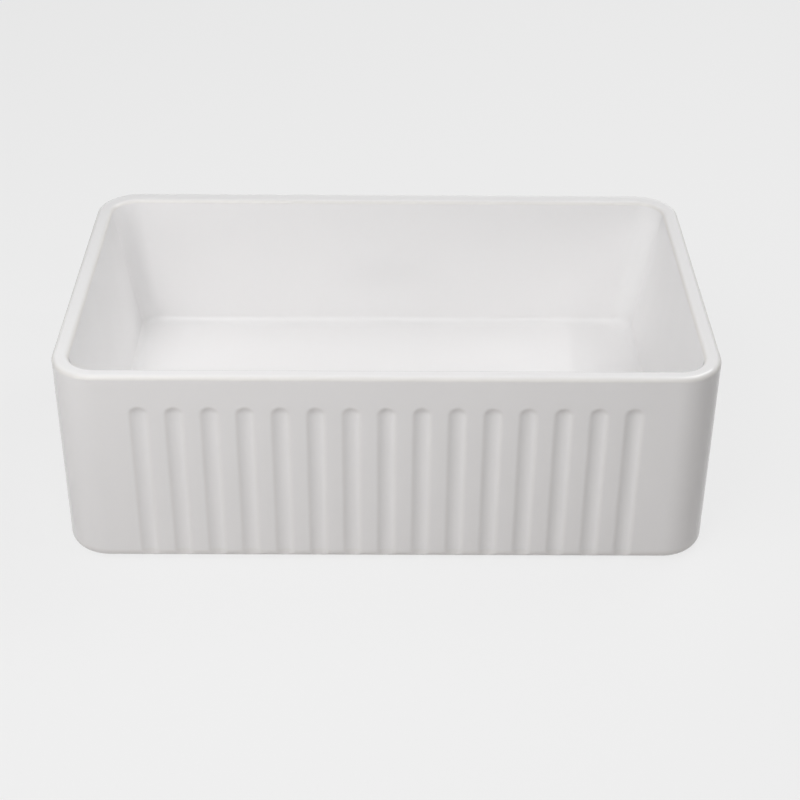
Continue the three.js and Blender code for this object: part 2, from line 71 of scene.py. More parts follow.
# %% [markdown]
# ## Camera
#
# The camera stands in front of the sink and looks down at about 33 degrees. One could place it by
# eye, but a rectangular sink shows every degree of error in its converging sides. So the camera was
# solved from the sink's outline: its place, its three angles and its lens are written here as
# measured. A matrix whose columns are the camera's right, up and backward directions sets all three
# angles at once.

# %% Camera
CAMERA_PLACE = Vector((1.156, -1814.227, 1259.563)) * MM
CAMERA_YAW = 0.00859
CAMERA_PITCH = 0.57807
CAMERA_ROLL = -0.00875
FOCAL_LENGTH = 76.142
SENSOR_WIDTH = 36.0


def aim_camera(place, yaw, pitch, roll):
    ahead = Vector(
        (math.sin(yaw) * math.cos(pitch), math.cos(yaw) * math.cos(pitch), -math.sin(pitch))
    )
    level_right = Vector((math.cos(yaw), -math.sin(yaw), 0.0))
    level_down = ahead.cross(level_right)
    right = level_right * math.cos(roll) + level_down * math.sin(roll)
    down = level_down * math.cos(roll) - level_right * math.sin(roll)
    turn = Matrix((right, -down, -ahead)).transposed().to_4x4()
    return Matrix.Translation(place) @ turn


scene = bpy.context.scene
camera = bpy.data.objects.new("camera", bpy.data.cameras.new("camera"))
scene.collection.objects.link(camera)
camera.data.sensor_width = SENSOR_WIDTH
camera.data.lens = FOCAL_LENGTH
camera.data.clip_end = 50.0
camera.matrix_world = aim_camera(CAMERA_PLACE, CAMERA_YAW, CAMERA_PITCH, CAMERA_ROLL)
scene.camera = camera
scene.view_settings.view_transform = "Standard"
print("camera at", [round(v, 3) for v in camera.location])

# %% [markdown]
# ## Colours and nodes
#
# Finishes are written as the hex colours that one would pick from a swatch. Shaders work with
# linear light, so one function turns a swatch into linear values. A second small function adds a
# node with its settings and links, which keeps each material short enough to read.


# %% Colour and node helpers
# The colour sockets of a Mix node go by number, because its other sockets have the same names.
COLOUR_A, COLOUR_B, COLOUR_OUT = 6, 7, 2


def linear(swatch, alpha=1.0):
    channels = [int(swatch[i : i + 2], 16) / 255 for i in (1, 3, 5)]
    bent = [c / 12.92 if c <= 0.04045 else ((c + 0.055) / 1.055) ** 2.4 for c in channels]
    return (*bent, alpha)


def node(tree, kind, inputs=None, **settings):
    """Adds a node. inputs maps a socket's name or number to a value or to another node's output."""
    made = tree.nodes.new(kind)
    for name, value in settings.items():
        setattr(made, name, value)
    for socket, value in (inputs or {}).items():
        if isinstance(value, bpy.types.NodeSocket):
            tree.links.new(value, made.inputs[socket])
        else:
            made.inputs[socket].default_value = value
    return made


def new_material(name):
    """An empty material with a Principled shader joined to its output."""
    material = bpy.data.materials.new(name)
    material.use_nodes = True
    tree = material.node_tree
    tree.nodes.clear()
    shader = node(tree, "ShaderNodeBsdfPrincipled")
    node(tree, "ShaderNodeOutputMaterial", {"Surface": shader.outputs["BSDF"]})
    return material, tree, shader


def finish_shader(tree, shader, colour, roughness, normal):
    """Joins what varies over the surface to the shader."""
    tree.links.new(colour, shader.inputs["Base Color"])
    tree.links.new(roughness, shader.inputs["Roughness"])
    tree.links.new(normal, shader.inputs["Normal"])


def per_size(millimetres):
    """The scale of a texture whose features lie that far apart, in object coordinates."""
    return 1.0 / (millimetres * MM)


print("half of full brightness is", round(linear("#808080")[0], 3), "in linear light")

# %% [markdown]
# ## Studio
#
# The sink stands on a seamless pale sheet. The camera sees only floor behind it, because it looks
# down so steeply. A lit floor alone would fall off towards the corners of the picture, so what the
# camera sees is mostly the sheet's own flat tone, and only a share of it is the lit surface, which
# keeps the sink's soft shadow. The same tone shows in reflections. The sheet also throws light back
# up at the apron, and for those rays it's a warm grey, as a real sheet is.
#
# The sky gives a little even light, and soft lamps shape the sink. A gloss glaze shows each lamp
# twice, as light on the white and as a mirror image, and the two seldom want the same strength. So
# the key on the front left is a pair: one lamp lights the glaze without being mirrored, and its
# twin is mirrored without lighting it. Two ceiling panels fill the bowl, two lamps in front shape
# the flutes, a low one lifts the back, and a small lamp on the right is sharp enough to draw the
# shadow of the rim on the rear wall.

# %% Floor
BACKDROP = "#EFEFEF"
LIT_SHARE = 0.12
FLOOR_SIZE = 14.0

floor_mesh = bpy.data.meshes.new("floor")
bm = bmesh.new()
bmesh.ops.create_grid(bm, x_segments=1, y_segments=1, size=FLOOR_SIZE / 2)
bm.to_mesh(floor_mesh)
bm.free()
floor = bpy.data.objects.new("floor", floor_mesh)
scene.collection.objects.link(floor)
floor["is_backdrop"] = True


def seen_directly(tree):
    """1 for a ray that shows the surface, also in a mirror or through glass, otherwise 0."""
    rays = node(tree, "ShaderNodeLightPath").outputs
    mirrored = {0: rays["Is Camera Ray"], 1: rays["Is Glossy Ray"]}
    either = node(tree, "ShaderNodeMath", mirrored, operation="MAXIMUM")
    refracted = {0: either.outputs[0], 1: rays["Is Transmission Ray"]}
    return node(tree, "ShaderNodeMath", refracted, operation="MAXIMUM").outputs[0]


sheet_material = bpy.data.materials.new("seamless_paper_matt")
sheet_material.use_nodes = True
tree = sheet_material.node_tree
tree.nodes.clear()
direct = seen_directly(tree)
paper = node(
    tree,
    "ShaderNodeMix",
    {0: direct, COLOUR_A: linear("#C0BCBA"), COLOUR_B: linear("#FFFFFF")},
    data_type="RGBA",
)
lit = node(tree, "ShaderNodeBsdfDiffuse", {"Color": paper.outputs[COLOUR_OUT]})
flat = node(tree, "ShaderNodeEmission", {"Color": linear(BACKDROP), "Strength": 1.0})
share = node(tree, "ShaderNodeMath", {0: direct, 1: 1.0 - LIT_SHARE}, operation="MULTIPLY")
blend = node(
    tree, "ShaderNodeMixShader", {0: share.outputs[0], 1: lit.outputs[0], 2: flat.outputs[0]}
)
node(tree, "ShaderNodeOutputMaterial", {"Surface": blend.outputs[0]})
floor_mesh.materials.append(sheet_material)
print("floor", FLOOR_SIZE, "m square")

# %% World and lamps
SKY_STRENGTH = 0.06

world = bpy.data.worlds.new("white_room")
scene.world = world
world.use_nodes = True
tree = world.node_tree
tree.nodes.clear()
room = node(tree, "ShaderNodeBackground", {"Color": linear("#FFFFFF"), "Strength": SKY_STRENGTH})
backdrop = node(tree, "ShaderNodeBackground", {"Color": linear(BACKDROP), "Strength": 1.0})
blend = node(
    tree,
    "ShaderNodeMixShader",
    {0: seen_directly(tree), 1: room.outputs[0], 2: backdrop.outputs[0]},
)
node(tree, "ShaderNodeOutputWorld", {"Surface": blend.outputs[0]})


def soft_lamp(name, place, target, width, height, watts):
    lamp = bpy.data.lights.new(name, "AREA")
    lamp.shape = "RECTANGLE"
    lamp.size = width
    lamp.size_y = height
    lamp.energy = watts
    made = bpy.data.objects.new(name, lamp)
    scene.collection.objects.link(made)
    made.location = place
    made.rotation_euler = (Vector(target) - Vector(place)).to_track_quat("-Z", "Y").to_euler()
    return made


SINK_MIDDLE = (0.0, 0.0, 0.13)
key = soft_lamp("key_left", (-0.6, -0.8, 1.7), SINK_MIDDLE, 1.3, 1.0, 13.8)
key.visible_glossy = False
shine = soft_lamp("key_shine", (-0.9, -0.8, 1.7), SINK_MIDDLE, 1.6, 0.9, 4.6)
shine.visible_diffuse = False
soft_lamp("ceiling_right", (1.5, -0.2, 2.3), SINK_MIDDLE, 1.6, 2.0, 3.2)
soft_lamp("ceiling_back", (1.3, 1.0, 2.3), SINK_MIDDLE, 1.4, 1.2, 20.0)
soft_lamp("front_high", (-0.3, -2.4, 1.9), SINK_MIDDLE, 2.2, 1.0, 13.4)
soft_lamp("front_left", (-1.7, -2.2, 1.0), SINK_MIDDLE, 1.6, 1.4, 13.6)
soft_lamp("low_behind", (0.4, 3.0, 0.9), SINK_MIDDLE, 2.4, 1.0, 3.8)
soft_lamp("window_right", (1.87, -0.85, 2.6), SINK_MIDDLE, 0.06, 0.06, 6.4)
print("sky", SKY_STRENGTH, "with", len(bpy.data.lights), "lamps")

# %% [markdown]
# ## Glaze on fireclay
#
# The body is fireclay under an opaque white glaze. A glaze is glass, so it has glass's refractive
# index of about 1.5 and a sharp reflection over a chalky white. It was poured and fired, so it
# isn't perfectly level: it lies in slow waves a hand wide and in a fine orange peel of a few
# millimetres. Where it drew back from a round edge the cream clay warms the white a little. The
# foot is wiped bare before firing, and the underside stays raw clay, dull and sandy to the eye. Its
# grit is finer than a millimetre in life and is drawn at three, so that it shows. The edges and the
# bare clay are painted on the mesh as two attributes, called thin and bare, so the material only
# has to read them.

# %% Glazed fireclay
glaze, tree, shader = new_material("fireclay_white_gloss_glaze")
place = node(tree, "ShaderNodeTexCoord").outputs["Object"]
bare = node(tree, "ShaderNodeAttribute", attribute_name="bare").outputs["Fac"]
thin = node(tree, "ShaderNodeAttribute", attribute_name="thin").outputs["Fac"]

cloud = node(tree, "ShaderNodeTexNoise", {"Vector": place, "Scale": per_size(170), "Detail": 2.0})
white = node(
    tree,
    "ShaderNodeMix",
    {0: cloud.outputs["Fac"], COLOUR_A: linear("#F9F8F8"), COLOUR_B: linear("#F7F6F6")},
    data_type="RGBA",
)
edge_share = node(tree, "ShaderNodeMath", {0: thin, 1: 0.45}, operation="MULTIPLY")
edged = node(
    tree,
    "ShaderNodeMix",
    {0: edge_share.outputs[0], COLOUR_A: white.outputs[COLOUR_OUT], COLOUR_B: linear("#E2DED6")},
    data_type="RGBA",
)
grit = node(
    tree,
    "ShaderNodeTexNoise",
    {"Vector": place, "Scale": per_size(3), "Detail": 4.0, "Roughness": 0.7},
)
clay = node(
    tree,
    "ShaderNodeMix",
    {0: grit.outputs["Fac"], COLOUR_A: linear("#C9BBA4"), COLOUR_B: linear("#E0D6C6")},
    data_type="RGBA",
)
surface = node(
    tree,
    "ShaderNodeMix",
    {0: bare, COLOUR_A: edged.outputs[COLOUR_OUT], COLOUR_B: clay.outputs[COLOUR_OUT]},
    data_type="RGBA",
)

fired = node(tree, "ShaderNodeTexNoise", {"Vector": place, "Scale": per_size(40), "Detail": 3.0})
polish = node(
    tree, "ShaderNodeMapRange", {"Value": fired.outputs["Fac"], "To Min": 0.04, "To Max": 0.08}
)
rough = node(tree, "ShaderNodeMix", {0: bare, 2: polish.outputs[0], 3: 0.85}, data_type="FLOAT")

wave = node(tree, "ShaderNodeTexNoise", {"Vector": place, "Scale": per_size(95), "Detail": 1.0})
slow = node(
    tree, "ShaderNodeBump", {"Height": wave.outputs["Fac"], "Strength": 1.0, "Distance": 0.5 * MM}
)
peel = node(tree, "ShaderNodeTexNoise", {"Vector": place, "Scale": per_size(6), "Detail": 1.0})
fine = node(
    tree,
    "ShaderNodeBump",
    {
        "Height": peel.outputs["Fac"],
        "Strength": 1.0,
        "Distance": 0.012 * MM,
        "Normal": slow.outputs[0],
    },
)
sandy = node(
    tree,
    "ShaderNodeBump",
    {
        "Height": grit.outputs["Fac"],
        "Strength": bare,
        "Distance": 0.35 * MM,
        "Normal": fine.outputs[0],
    },
)
finish_shader(tree, shader, surface.outputs[COLOUR_OUT], rough.outputs[0], sandy.outputs[0])
shader.inputs["IOR"].default_value = 1.5
print("glaze:", len(tree.nodes), "nodes")

# %% [markdown]
# ## Metals of the waste
#
# The strainer and the basket are pressed from stainless sheet and spun-polished, which leaves fine
# rings round their axis and spreads each highlight across them. In life the rings lie about a tenth
# of a millimetre apart, too fine to show here, so they are drawn at half a millimetre. Rings round
# an axis are a one-dimensional noise of the distance from that axis, so the same few nodes make
# them for steel and for turned brass. The two big nuts are die-cast zinc: grey, grainy and dull,
# with the grain drawn coarse at about a millimetre.


# %% Spun and cast metals
def ringed_metal(name, dark, bright, roughness, ring_mm, depth_mm):
    """Metal with turning or polishing rings round the Z axis."""
    material, tree, shader = new_material(name)
    place = node(tree, "ShaderNodeTexCoord").outputs["Object"]
    flat = node(tree, "ShaderNodeVectorMath", {0: place, 1: (1.0, 1.0, 0.0)}, operation="MULTIPLY")
    radius = node(tree, "ShaderNodeVectorMath", {0: flat.outputs[0]}, operation="LENGTH")
    height = node(tree, "ShaderNodeSeparateXYZ", {0: place}).outputs["Z"]
    along = node(tree, "ShaderNodeMath", {0: radius.outputs["Value"], 1: height}, operation="ADD")
    rings = node(
        tree,
        "ShaderNodeTexNoise",
        {"W": along.outputs[0], "Scale": per_size(ring_mm), "Detail": 3.0, "Roughness": 0.65},
        noise_dimensions="1D",
    )
    smear = node(
        tree, "ShaderNodeTexNoise", {"Vector": place, "Scale": per_size(14), "Detail": 3.0}
    )
    both = node(
        tree, "ShaderNodeMath", {0: rings.outputs["Fac"], 1: smear.outputs["Fac"]}, operation="ADD"
    )
    half = node(tree, "ShaderNodeMath", {0: both.outputs[0], 1: 0.5}, operation="MULTIPLY")
    tone = node(
        tree,
        "ShaderNodeMix",
        {0: half.outputs[0], COLOUR_A: linear(dark), COLOUR_B: linear(bright)},
        data_type="RGBA",
    )
    gloss = node(
        tree,
        "ShaderNodeMapRange",
        {"Value": half.outputs[0], "To Min": roughness - 0.06, "To Max": roughness + 0.08},
    )
    bump = node(
        tree,
        "ShaderNodeBump",
        {"Height": rings.outputs["Fac"], "Strength": 1.0, "Distance": depth_mm * MM},
    )
    finish_shader(tree, shader, tone.outputs[COLOUR_OUT], gloss.outputs[0], bump.outputs[0])
    shader.inputs["Metallic"].default_value = 1.0
    return material


steel = ringed_metal("stainless_steel_spun_polish", "#B9BBBD", "#D6D8D9", 0.24, 0.5, 0.004)
brass = ringed_metal("brass_turned", "#B08A4A", "#D2AE6C", 0.30, 0.4, 0.005)

zinc, tree, shader = new_material("zinc_die_cast")
place = node(tree, "ShaderNodeTexCoord").outputs["Object"]
grain = node(tree, "ShaderNodeTexNoise", {"Vector": place, "Scale": per_size(1.2), "Detail": 4.0})
stain = node(tree, "ShaderNodeTexNoise", {"Vector": place, "Scale": per_size(18), "Detail": 3.0})
tone = node(
    tree,
    "ShaderNodeMix",
    {0: stain.outputs["Fac"], COLOUR_A: linear("#8E9194"), COLOUR_B: linear("#B4B6B8")},
    data_type="RGBA",
)
gloss = node(
    tree, "ShaderNodeMapRange", {"Value": grain.outputs["Fac"], "To Min": 0.38, "To Max": 0.6}
)
bump = node(
    tree, "ShaderNodeBump", {"Height": grain.outputs["Fac"], "Strength": 1.0, "Distance": 0.06 * MM}
)
finish_shader(tree, shader, tone.outputs[COLOUR_OUT], gloss.outputs[0], bump.outputs[0])
shader.inputs["Metallic"].default_value = 1.0
print("metals:", steel.name, brass.name, zinc.name)

# %% [markdown]
# ## Rubber, fibre, sealant and plastic
#
# What seals the waste is soft and dull. Black moulded rubber shows a faint grey bloom, the friction
# ring is pressed vegetable fibre, the bead under the flange is silicone, and the washer in the
# coupling nut is polyethylene. Each is a plain shader with two tones, a roughness and a bump at its
# own grain, so one function makes all four from their values. The grains of the rubber and the
# fibre are drawn coarser than life, so that they show.


# %% Soft materials
def soft_material(name, dark, bright, roughness, grain_mm, depth_mm, stretch=(1.0, 1.0, 1.0)):
    """A dull moulded or pressed material, mottled between two tones, with its grain in relief."""
    material, tree, shader = new_material(name)
    place = node(tree, "ShaderNodeTexCoord").outputs["Object"]
    drawn = node(tree, "ShaderNodeMapping", {"Vector": place, "Scale": stretch}).outputs[0]
    grain = node(
        tree,
        "ShaderNodeTexNoise",
        {"Vector": drawn, "Scale": per_size(grain_mm), "Detail": 4.0, "Roughness": 0.6},
    )
    bloom = node(
        tree, "ShaderNodeTexNoise", {"Vector": place, "Scale": per_size(22), "Detail": 2.0}
    )
    both = node(
        tree,
        "ShaderNodeMath",
        {0: grain.outputs["Fac"], 1: bloom.outputs["Fac"]},
        operation="MULTIPLY",
    )
    spread = node(
        tree, "ShaderNodeMapRange", {"Value": both.outputs[0], "From Min": 0.1, "From Max": 0.45}
    )
    tone = node(
        tree,
        "ShaderNodeMix",
        {0: spread.outputs[0], COLOUR_A: linear(dark), COLOUR_B: linear(bright)},
        data_type="RGBA",
    )
    gloss = node(
        tree,
        "ShaderNodeMapRange",
        {"Value": bloom.outputs["Fac"], "To Min": roughness - 0.08, "To Max": roughness + 0.08},
    )
    bump = node(
        tree,
        "ShaderNodeBump",
        {"Height": grain.outputs["Fac"], "Strength": 1.0, "Distance": depth_mm * MM},
    )
    finish_shader(tree, shader, tone.outputs[COLOUR_OUT], gloss.outputs[0], bump.outputs[0])
    return material


rubber = soft_material("rubber_black_moulded", "#161617", "#2B2B2C", 0.62, 0.8, 0.02)
fibre = soft_material(
    "vegetable_fibre_pressed", "#6E5338", "#A58863", 0.85, 0.7, 0.08, (1.0, 4.0, 1.0)
)
sealant = soft_material("silicone_off_white_tooled", "#CFCBC2", "#E3E0D9", 0.42, 5.0, 0.08)
plastic = soft_material("polyethylene_white_moulded", "#DEDDD8", "#EFEEEA", 0.42, 1.5, 0.01)

FINISHES = {
    "glaze": glaze,
    "stainless": steel,
    "brass": brass,
    "zinc": zinc,
    "rubber": rubber,
    "fibre": fibre,
    "sealant": sealant,
    "white_plastic": plastic,
}
print("finishes:", ", ".join(material.name for material in FINISHES.values()))

# %% [markdown]
# ## Finishing a piece
#
# Every new piece ends the same way. Its faces are turned outwards, its mesh becomes an object at
# the origin and gets its finish, it is hung from an empty for the body that carries it, and the
# frame's part that it stands for is hidden.
# Faces that meet at a shallow angle are shaded as one smooth surface, and sharper ones keep their
# edge.

# %% Piece helpers
SMOOTH_ANGLE = math.radians(38)


def finish_piece(bm, name, stands_for, body, slot_name):
    bmesh.ops.remove_doubles(bm, verts=bm.verts, dist=1e-6)
    bmesh.ops.recalc_face_normals(bm, faces=bm.faces)
    mesh = bpy.data.meshes.new(name)
    bm.to_mesh(mesh)
    bm.free()
    mesh.polygons.foreach_set("use_smooth", [True] * len(mesh.polygons))
    mesh.set_sharp_from_angle(angle=SMOOTH_ANGLE)
    mesh.materials.append(FINISHES[slot_name])
    made = bpy.data.objects.new(name, mesh)
    scene.collection.objects.link(made)
    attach(made, body)
    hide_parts(stands_for)
    print(f"{name}: {len(mesh.polygons)} faces, {max(made.dimensions) / MM:.1f} mm across")
    return made


def arc(centre_across, centre_up, radius, from_degrees, to_degrees, steps):
    """Points of an arc in a section, in millimetres, both ends included."""
    for i in range(steps + 1):
        angle = math.radians(from_degrees + (to_degrees - from_degrees) * i / steps)
        yield centre_across + radius * math.cos(angle), centre_up + radius * math.sin(angle)


# %% [markdown]
# ## The sink's body: outline
#
# The fireclay body could be carved from a block with booleans, but its edges would then shade
# badly, and a glossy white surface shows that at once. We grow it instead, as a potter's template
# would: one outline seen from above is drawn up the walls, over the rim, down the bowl, out through
# the drain and back along the underside, and each level is the same ring of points in a new place.
# A single square with bevelled corners gives the outline. Its front edge gets a column of points
# wherever a flute needs one.

# %% Sizes of the body
body_low, body_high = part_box("sink_body")
WIDTH, DEPTH, HEIGHT = ((body_high - body_low) / MM)[:]
CORNER = 52.0
BASE_ROUND = 12.0
RIM_OUTER_ROUND = 6.0
RIM_INNER_ROUND = 5.0
RIM_SIDE, RIM_FRONT, RIM_BACK = 19.0, 18.0, 23.0
BOWL_DEPTH = 179.0
SIDE_LEAN, END_LEAN = 30.0, 11.0
BOWL_CORNER_TOP, BOWL_CORNER_FLOOR = 33.0, 22.0
FLOOR_ROUND = 12.0
FLOOR_FALL = 2.0
FLOOR_THICKNESS = 22.0
SKIRT = 26.0
SKIRT_ROUND = 4.0
RECESS_DRAFT = 2.0
RECESS_CORNER, RECESS_ROUND = 30.0, 10.0
BOSS_RADIUS, BOSS_HEIGHT, BOSS_SLOPE = 70.0, 4.0, 3.0
DRAIN_RADIUS, SEAT_RADIUS, SEAT_DEPTH, LIP_ROUND = 45.0, 59.5, 4.0, 2.0

FLOOR_Z = HEIGHT - BOWL_DEPTH
DRAIN_Z = FLOOR_Z - FLOOR_FALL
ROOF_Z = FLOOR_Z - FLOOR_THICKNESS
print(f"body {WIDTH:.0f} x {DEPTH:.0f} x {HEIGHT:.0f} mm, floor at {FLOOR_Z:.0f} mm")

# %% Flutes
FLUTES = 15
FLUTE_WIDTH = 26.0
FLUTE_DEPTH = 3.5
FLUTE_SHOULDER = 10.0
FLUTE_MARGIN = 87.5
FLUTE_TOP_DROP = 38.0
FLUTE_STEPS = 18  # columns of faces across one flute

ROW = WIDTH - 2 * FLUTE_MARGIN - FLUTE_WIDTH
PITCH = ROW / (FLUTES - 1)
FLUTE_AXIS_Z = HEIGHT - FLUTE_TOP_DROP - FLUTE_WIDTH / 2


def flute_distance(x, z):
    """How far a point of the apron lies from the middle line of the nearest flute."""
    number = min(max(round((x + ROW / 2) / PITCH), 0), FLUTES - 1)
    across = x - (number * PITCH - ROW / 2)
    return math.hypot(across, max(z - FLUTE_AXIS_Z, 0.0))


def flute_depth(distance):
    """A hollow arc that ends in a rounded shoulder at the apron's face."""
    half = FLUTE_WIDTH / 2
    if distance >= half:
        return 0.0
    radii = (half**2 + FLUTE_DEPTH**2) / (2 * FLUTE_DEPTH)
    hollow = radii - FLUTE_SHOULDER
    meet = math.atan2(half, radii - FLUTE_DEPTH)
    if distance < hollow * math.sin(meet):
        return FLUTE_DEPTH - hollow + math.sqrt(hollow**2 - distance**2)
    return FLUTE_SHOULDER - math.sqrt(FLUTE_SHOULDER**2 - (half - distance) ** 2)


def front_columns():
    """Where the apron has columns of points, from left to right, without its two ends."""
    half = FLUTE_WIDTH / 2
    places = []
    for number in range(FLUTES):
        middle = number * PITCH - ROW / 2
        places += [middle - half + FLUTE_WIDTH * i / FLUTE_STEPS for i in range(FLUTE_STEPS + 1)]
    end = WIDTH / 2 - CORNER
    first = places[0]
    plain = [end - 2.0, (end - first) / 2]
    return [-plain[0], -plain[1], *places, plain[1], plain[0]]


print(f"{FLUTES} flutes, {PITCH:.2f} mm apart, {len(front_columns())} columns on the apron")

# %% Outline
CORNER_STEPS = 16
PLAIN_CUTS = 14


def draw_outline(bm):
    """One closed loop of edges, in millimetres, with the apron along -Y."""
    bmesh.ops.create_grid(bm, x_segments=1, y_segments=1, size=0.5)
    bmesh.ops.scale(bm, vec=(WIDTH, DEPTH, 1.0), verts=bm.verts)
    bmesh.ops.bevel(
        bm,
        geom=bm.verts[:],
        offset=CORNER,
        segments=CORNER_STEPS,
        profile=0.5,
        affect="VERTICES",
        material=-1,
    )
    straight = [e for e in bm.edges if e.calc_length() > CORNER]
    front = [e for e in straight if all(v.co.y < -DEPTH / 2 + 1e-3 for v in e.verts)]
    others = [e for e in straight if e not in front]
    bmesh.ops.subdivide_edges(bm, edges=others, cuts=PLAIN_CUTS)
    columns = front_columns()
    bmesh.ops.subdivide_edges(bm, edges=front, cuts=len(columns))
    end = WIDTH / 2 - CORNER - 1e-3
    on_front = [v for v in bm.verts if v.co.y < -DEPTH / 2 + 1e-3 and abs(v.co.x) < end]
    for vert, x in zip(sorted(on_front, key=lambda v: v.co.x), columns, strict=True):
        vert.co.x = x
    bmesh.ops.delete(bm, geom=bm.faces[:], context="FACES_ONLY")


bm = bmesh.new()
draw_outline(bm)
print("outline:", len(bm.verts), "points,", len(bm.edges), "edges")
bm.free()

# %% [markdown]
# ## The sink's body: levels
#
# A level says where a ring lies. The outer skin keeps its corners in step with its inset, so the
# wall stays even. The bowl leans in on its way down and its corners tighten. Towards the drain the
# rectangle turns into a circle by degrees, while the floor falls by two millimetres, so water finds
# its way out. The flutes need no cutting: a point of the apron simply sinks by the depth of the
# flute that it lies in.


# %% Levels
def rectangle(plan, side, front, back, corner):
    """Takes a point of the outline to a smaller or larger rectangle with its own corner radius."""
    reach_x, reach_y = WIDTH / 2 - CORNER, DEPTH / 2 - CORNER
    along_x = min(max(plan.x, -reach_x), reach_x)
    along_y = min(max(plan.y, -reach_y), reach_y)
    out_x, out_y = (plan.x - along_x) / CORNER, (plan.y - along_y) / CORNER
    low_y, high_y = -DEPTH / 2 + front + corner, DEPTH / 2 - back - corner
    x = along_x * (WIDTH / 2 - side - corner) / reach_x + out_x * corner
    y = low_y + (high_y - low_y) * (along_y + reach_y) / (2 * reach_y) + out_y * corner
    return x, y


def skin(inset, z, bare=0.0, thin=0.0):
    def level(plan):
        x, y = rectangle(plan, inset, inset, inset, CORNER - inset)
        sunk = 0.0
        if plan.y < 0 and abs(x) < WIDTH / 2 - CORNER:
            distance = flute_distance(x, z)
            sunk = flute_depth(distance)
            y = max(y, -DEPTH / 2 + sunk)
        shoulder = max(0.0, 1.0 - abs(sunk - 0.7) / 0.7)
        return (x, y, z), bare, max(thin, 0.3 * shoulder)

    return level


def bowl(extra, z, thin=0.0):
    def level(plan):
        share = (HEIGHT - z) / BOWL_DEPTH
        corner = BOWL_CORNER_TOP + (BOWL_CORNER_FLOOR - BOWL_CORNER_TOP) * share
        side = RIM_SIDE + SIDE_LEAN * share + extra
        front = RIM_FRONT + END_LEAN * share + extra
        back = RIM_BACK + END_LEAN * share + extra
        return (*rectangle(plan, side, front, back, corner - extra), z), 0.0, thin

    return level


def towards_drain(share, radius, edge_level, from_z, to_z, bare=0.0, thin=0.0):
    """A share of the way from a rectangular level in to a circle, both level or gently falling."""

    def level(plan):
        (x, y, _), _, _ = edge_level(plan)
        reach = math.hypot(x, y)
        rim_x, rim_y = x / reach * radius, y / reach * radius
        z = from_z + (to_z - from_z) * share
        return (x + (rim_x - x) * share, y + (rim_y - y) * share, z), bare, thin

    return level


def recess(extra, z):
    def level(plan):
        inset = SKIRT + RECESS_DRAFT * z / ROOF_Z + extra
        return (*rectangle(plan, inset, inset, inset, RECESS_CORNER - extra), z), 1.0, 0.0

    return level


# %% The way round the body
FINE_STEPS = 10


def steps_between(start, stop, count):
    """Values strictly between two others."""
    return [start + (stop - start) * i / count for i in range(1, count)]


def body_levels():
    levels = []
    for inset, z in arc(BASE_ROUND, BASE_ROUND, BASE_ROUND, 270, 180, FINE_STEPS + 4):
        levels.append(skin(inset, z, bare=1.0 if z < 1.2 else 0.0, thin=0.3))
    coarse = [BASE_ROUND + 2.0, *steps_between(BASE_ROUND + 2.0, FLUTE_AXIS_Z, 12), FLUTE_AXIS_Z]
    levels += [skin(0.0, z) for z in coarse]
    top = FLUTE_AXIS_Z + FLUTE_WIDTH / 2
    levels += [skin(0.0, z) for z in steps_between(FLUTE_AXIS_Z, top + 1.0, 16)]
    rim_foot = HEIGHT - RIM_OUTER_ROUND
    band_low, band_high = top + 1.5, rim_foot - 1.5
    band = [band_low, *steps_between(band_low, band_high, 3), band_high]
    levels += [skin(0.0, z) for z in band]
    for inset, z in arc(RIM_OUTER_ROUND, rim_foot, RIM_OUTER_ROUND, 180, 90, FINE_STEPS):
        levels.append(skin(inset, z, thin=math.sin(math.pi * (z - rim_foot) / RIM_OUTER_ROUND)))
    inner, bowl_top = RIM_INNER_ROUND, HEIGHT - RIM_INNER_ROUND
    for extra, z in arc(-inner, bowl_top, inner, 90, 0, FINE_STEPS):
        levels.append(bowl(extra, z, thin=math.sin(math.pi * (HEIGHT - z) / inner)))
    wall_top, wall_foot = bowl_top - 1.5, FLOOR_Z + FLOOR_ROUND + 1.5
    walls = [wall_top, *steps_between(wall_top, wall_foot, 10), wall_foot]
    levels += [bowl(0.0, z) for z in walls]
    for extra, z in arc(FLOOR_ROUND, FLOOR_Z + FLOOR_ROUND, FLOOR_ROUND, 180, 270, FINE_STEPS):
        levels.append(bowl(extra, z))
    levels += floor_levels() + underside_levels()
    return levels


def floor_levels():
    edge = bowl(FLOOR_ROUND, FLOOR_Z)
    lip = SEAT_RADIUS + LIP_ROUND
    shares = [0.01, *steps_between(0.01, 0.97, 12), 0.97]
    levels = [towards_drain(s, lip, edge, FLOOR_Z, DRAIN_Z) for s in shares]
    for radius, z in arc(lip, DRAIN_Z - LIP_ROUND, LIP_ROUND, 90, 180, 5):
        levels.append(towards_drain(1.0, radius, edge, z, z, thin=0.8))
    seat = DRAIN_Z - SEAT_DEPTH
    for radius in (SEAT_RADIUS, SEAT_RADIUS - 1.0, DRAIN_RADIUS + 1.0):
        levels.append(towards_drain(1.0, radius, edge, seat, seat))
    for radius, z in arc(DRAIN_RADIUS + 1.0, seat - 1.0, 1.0, 90, 180, 3):
        levels.append(towards_drain(1.0, radius, edge, z, z))
    return levels


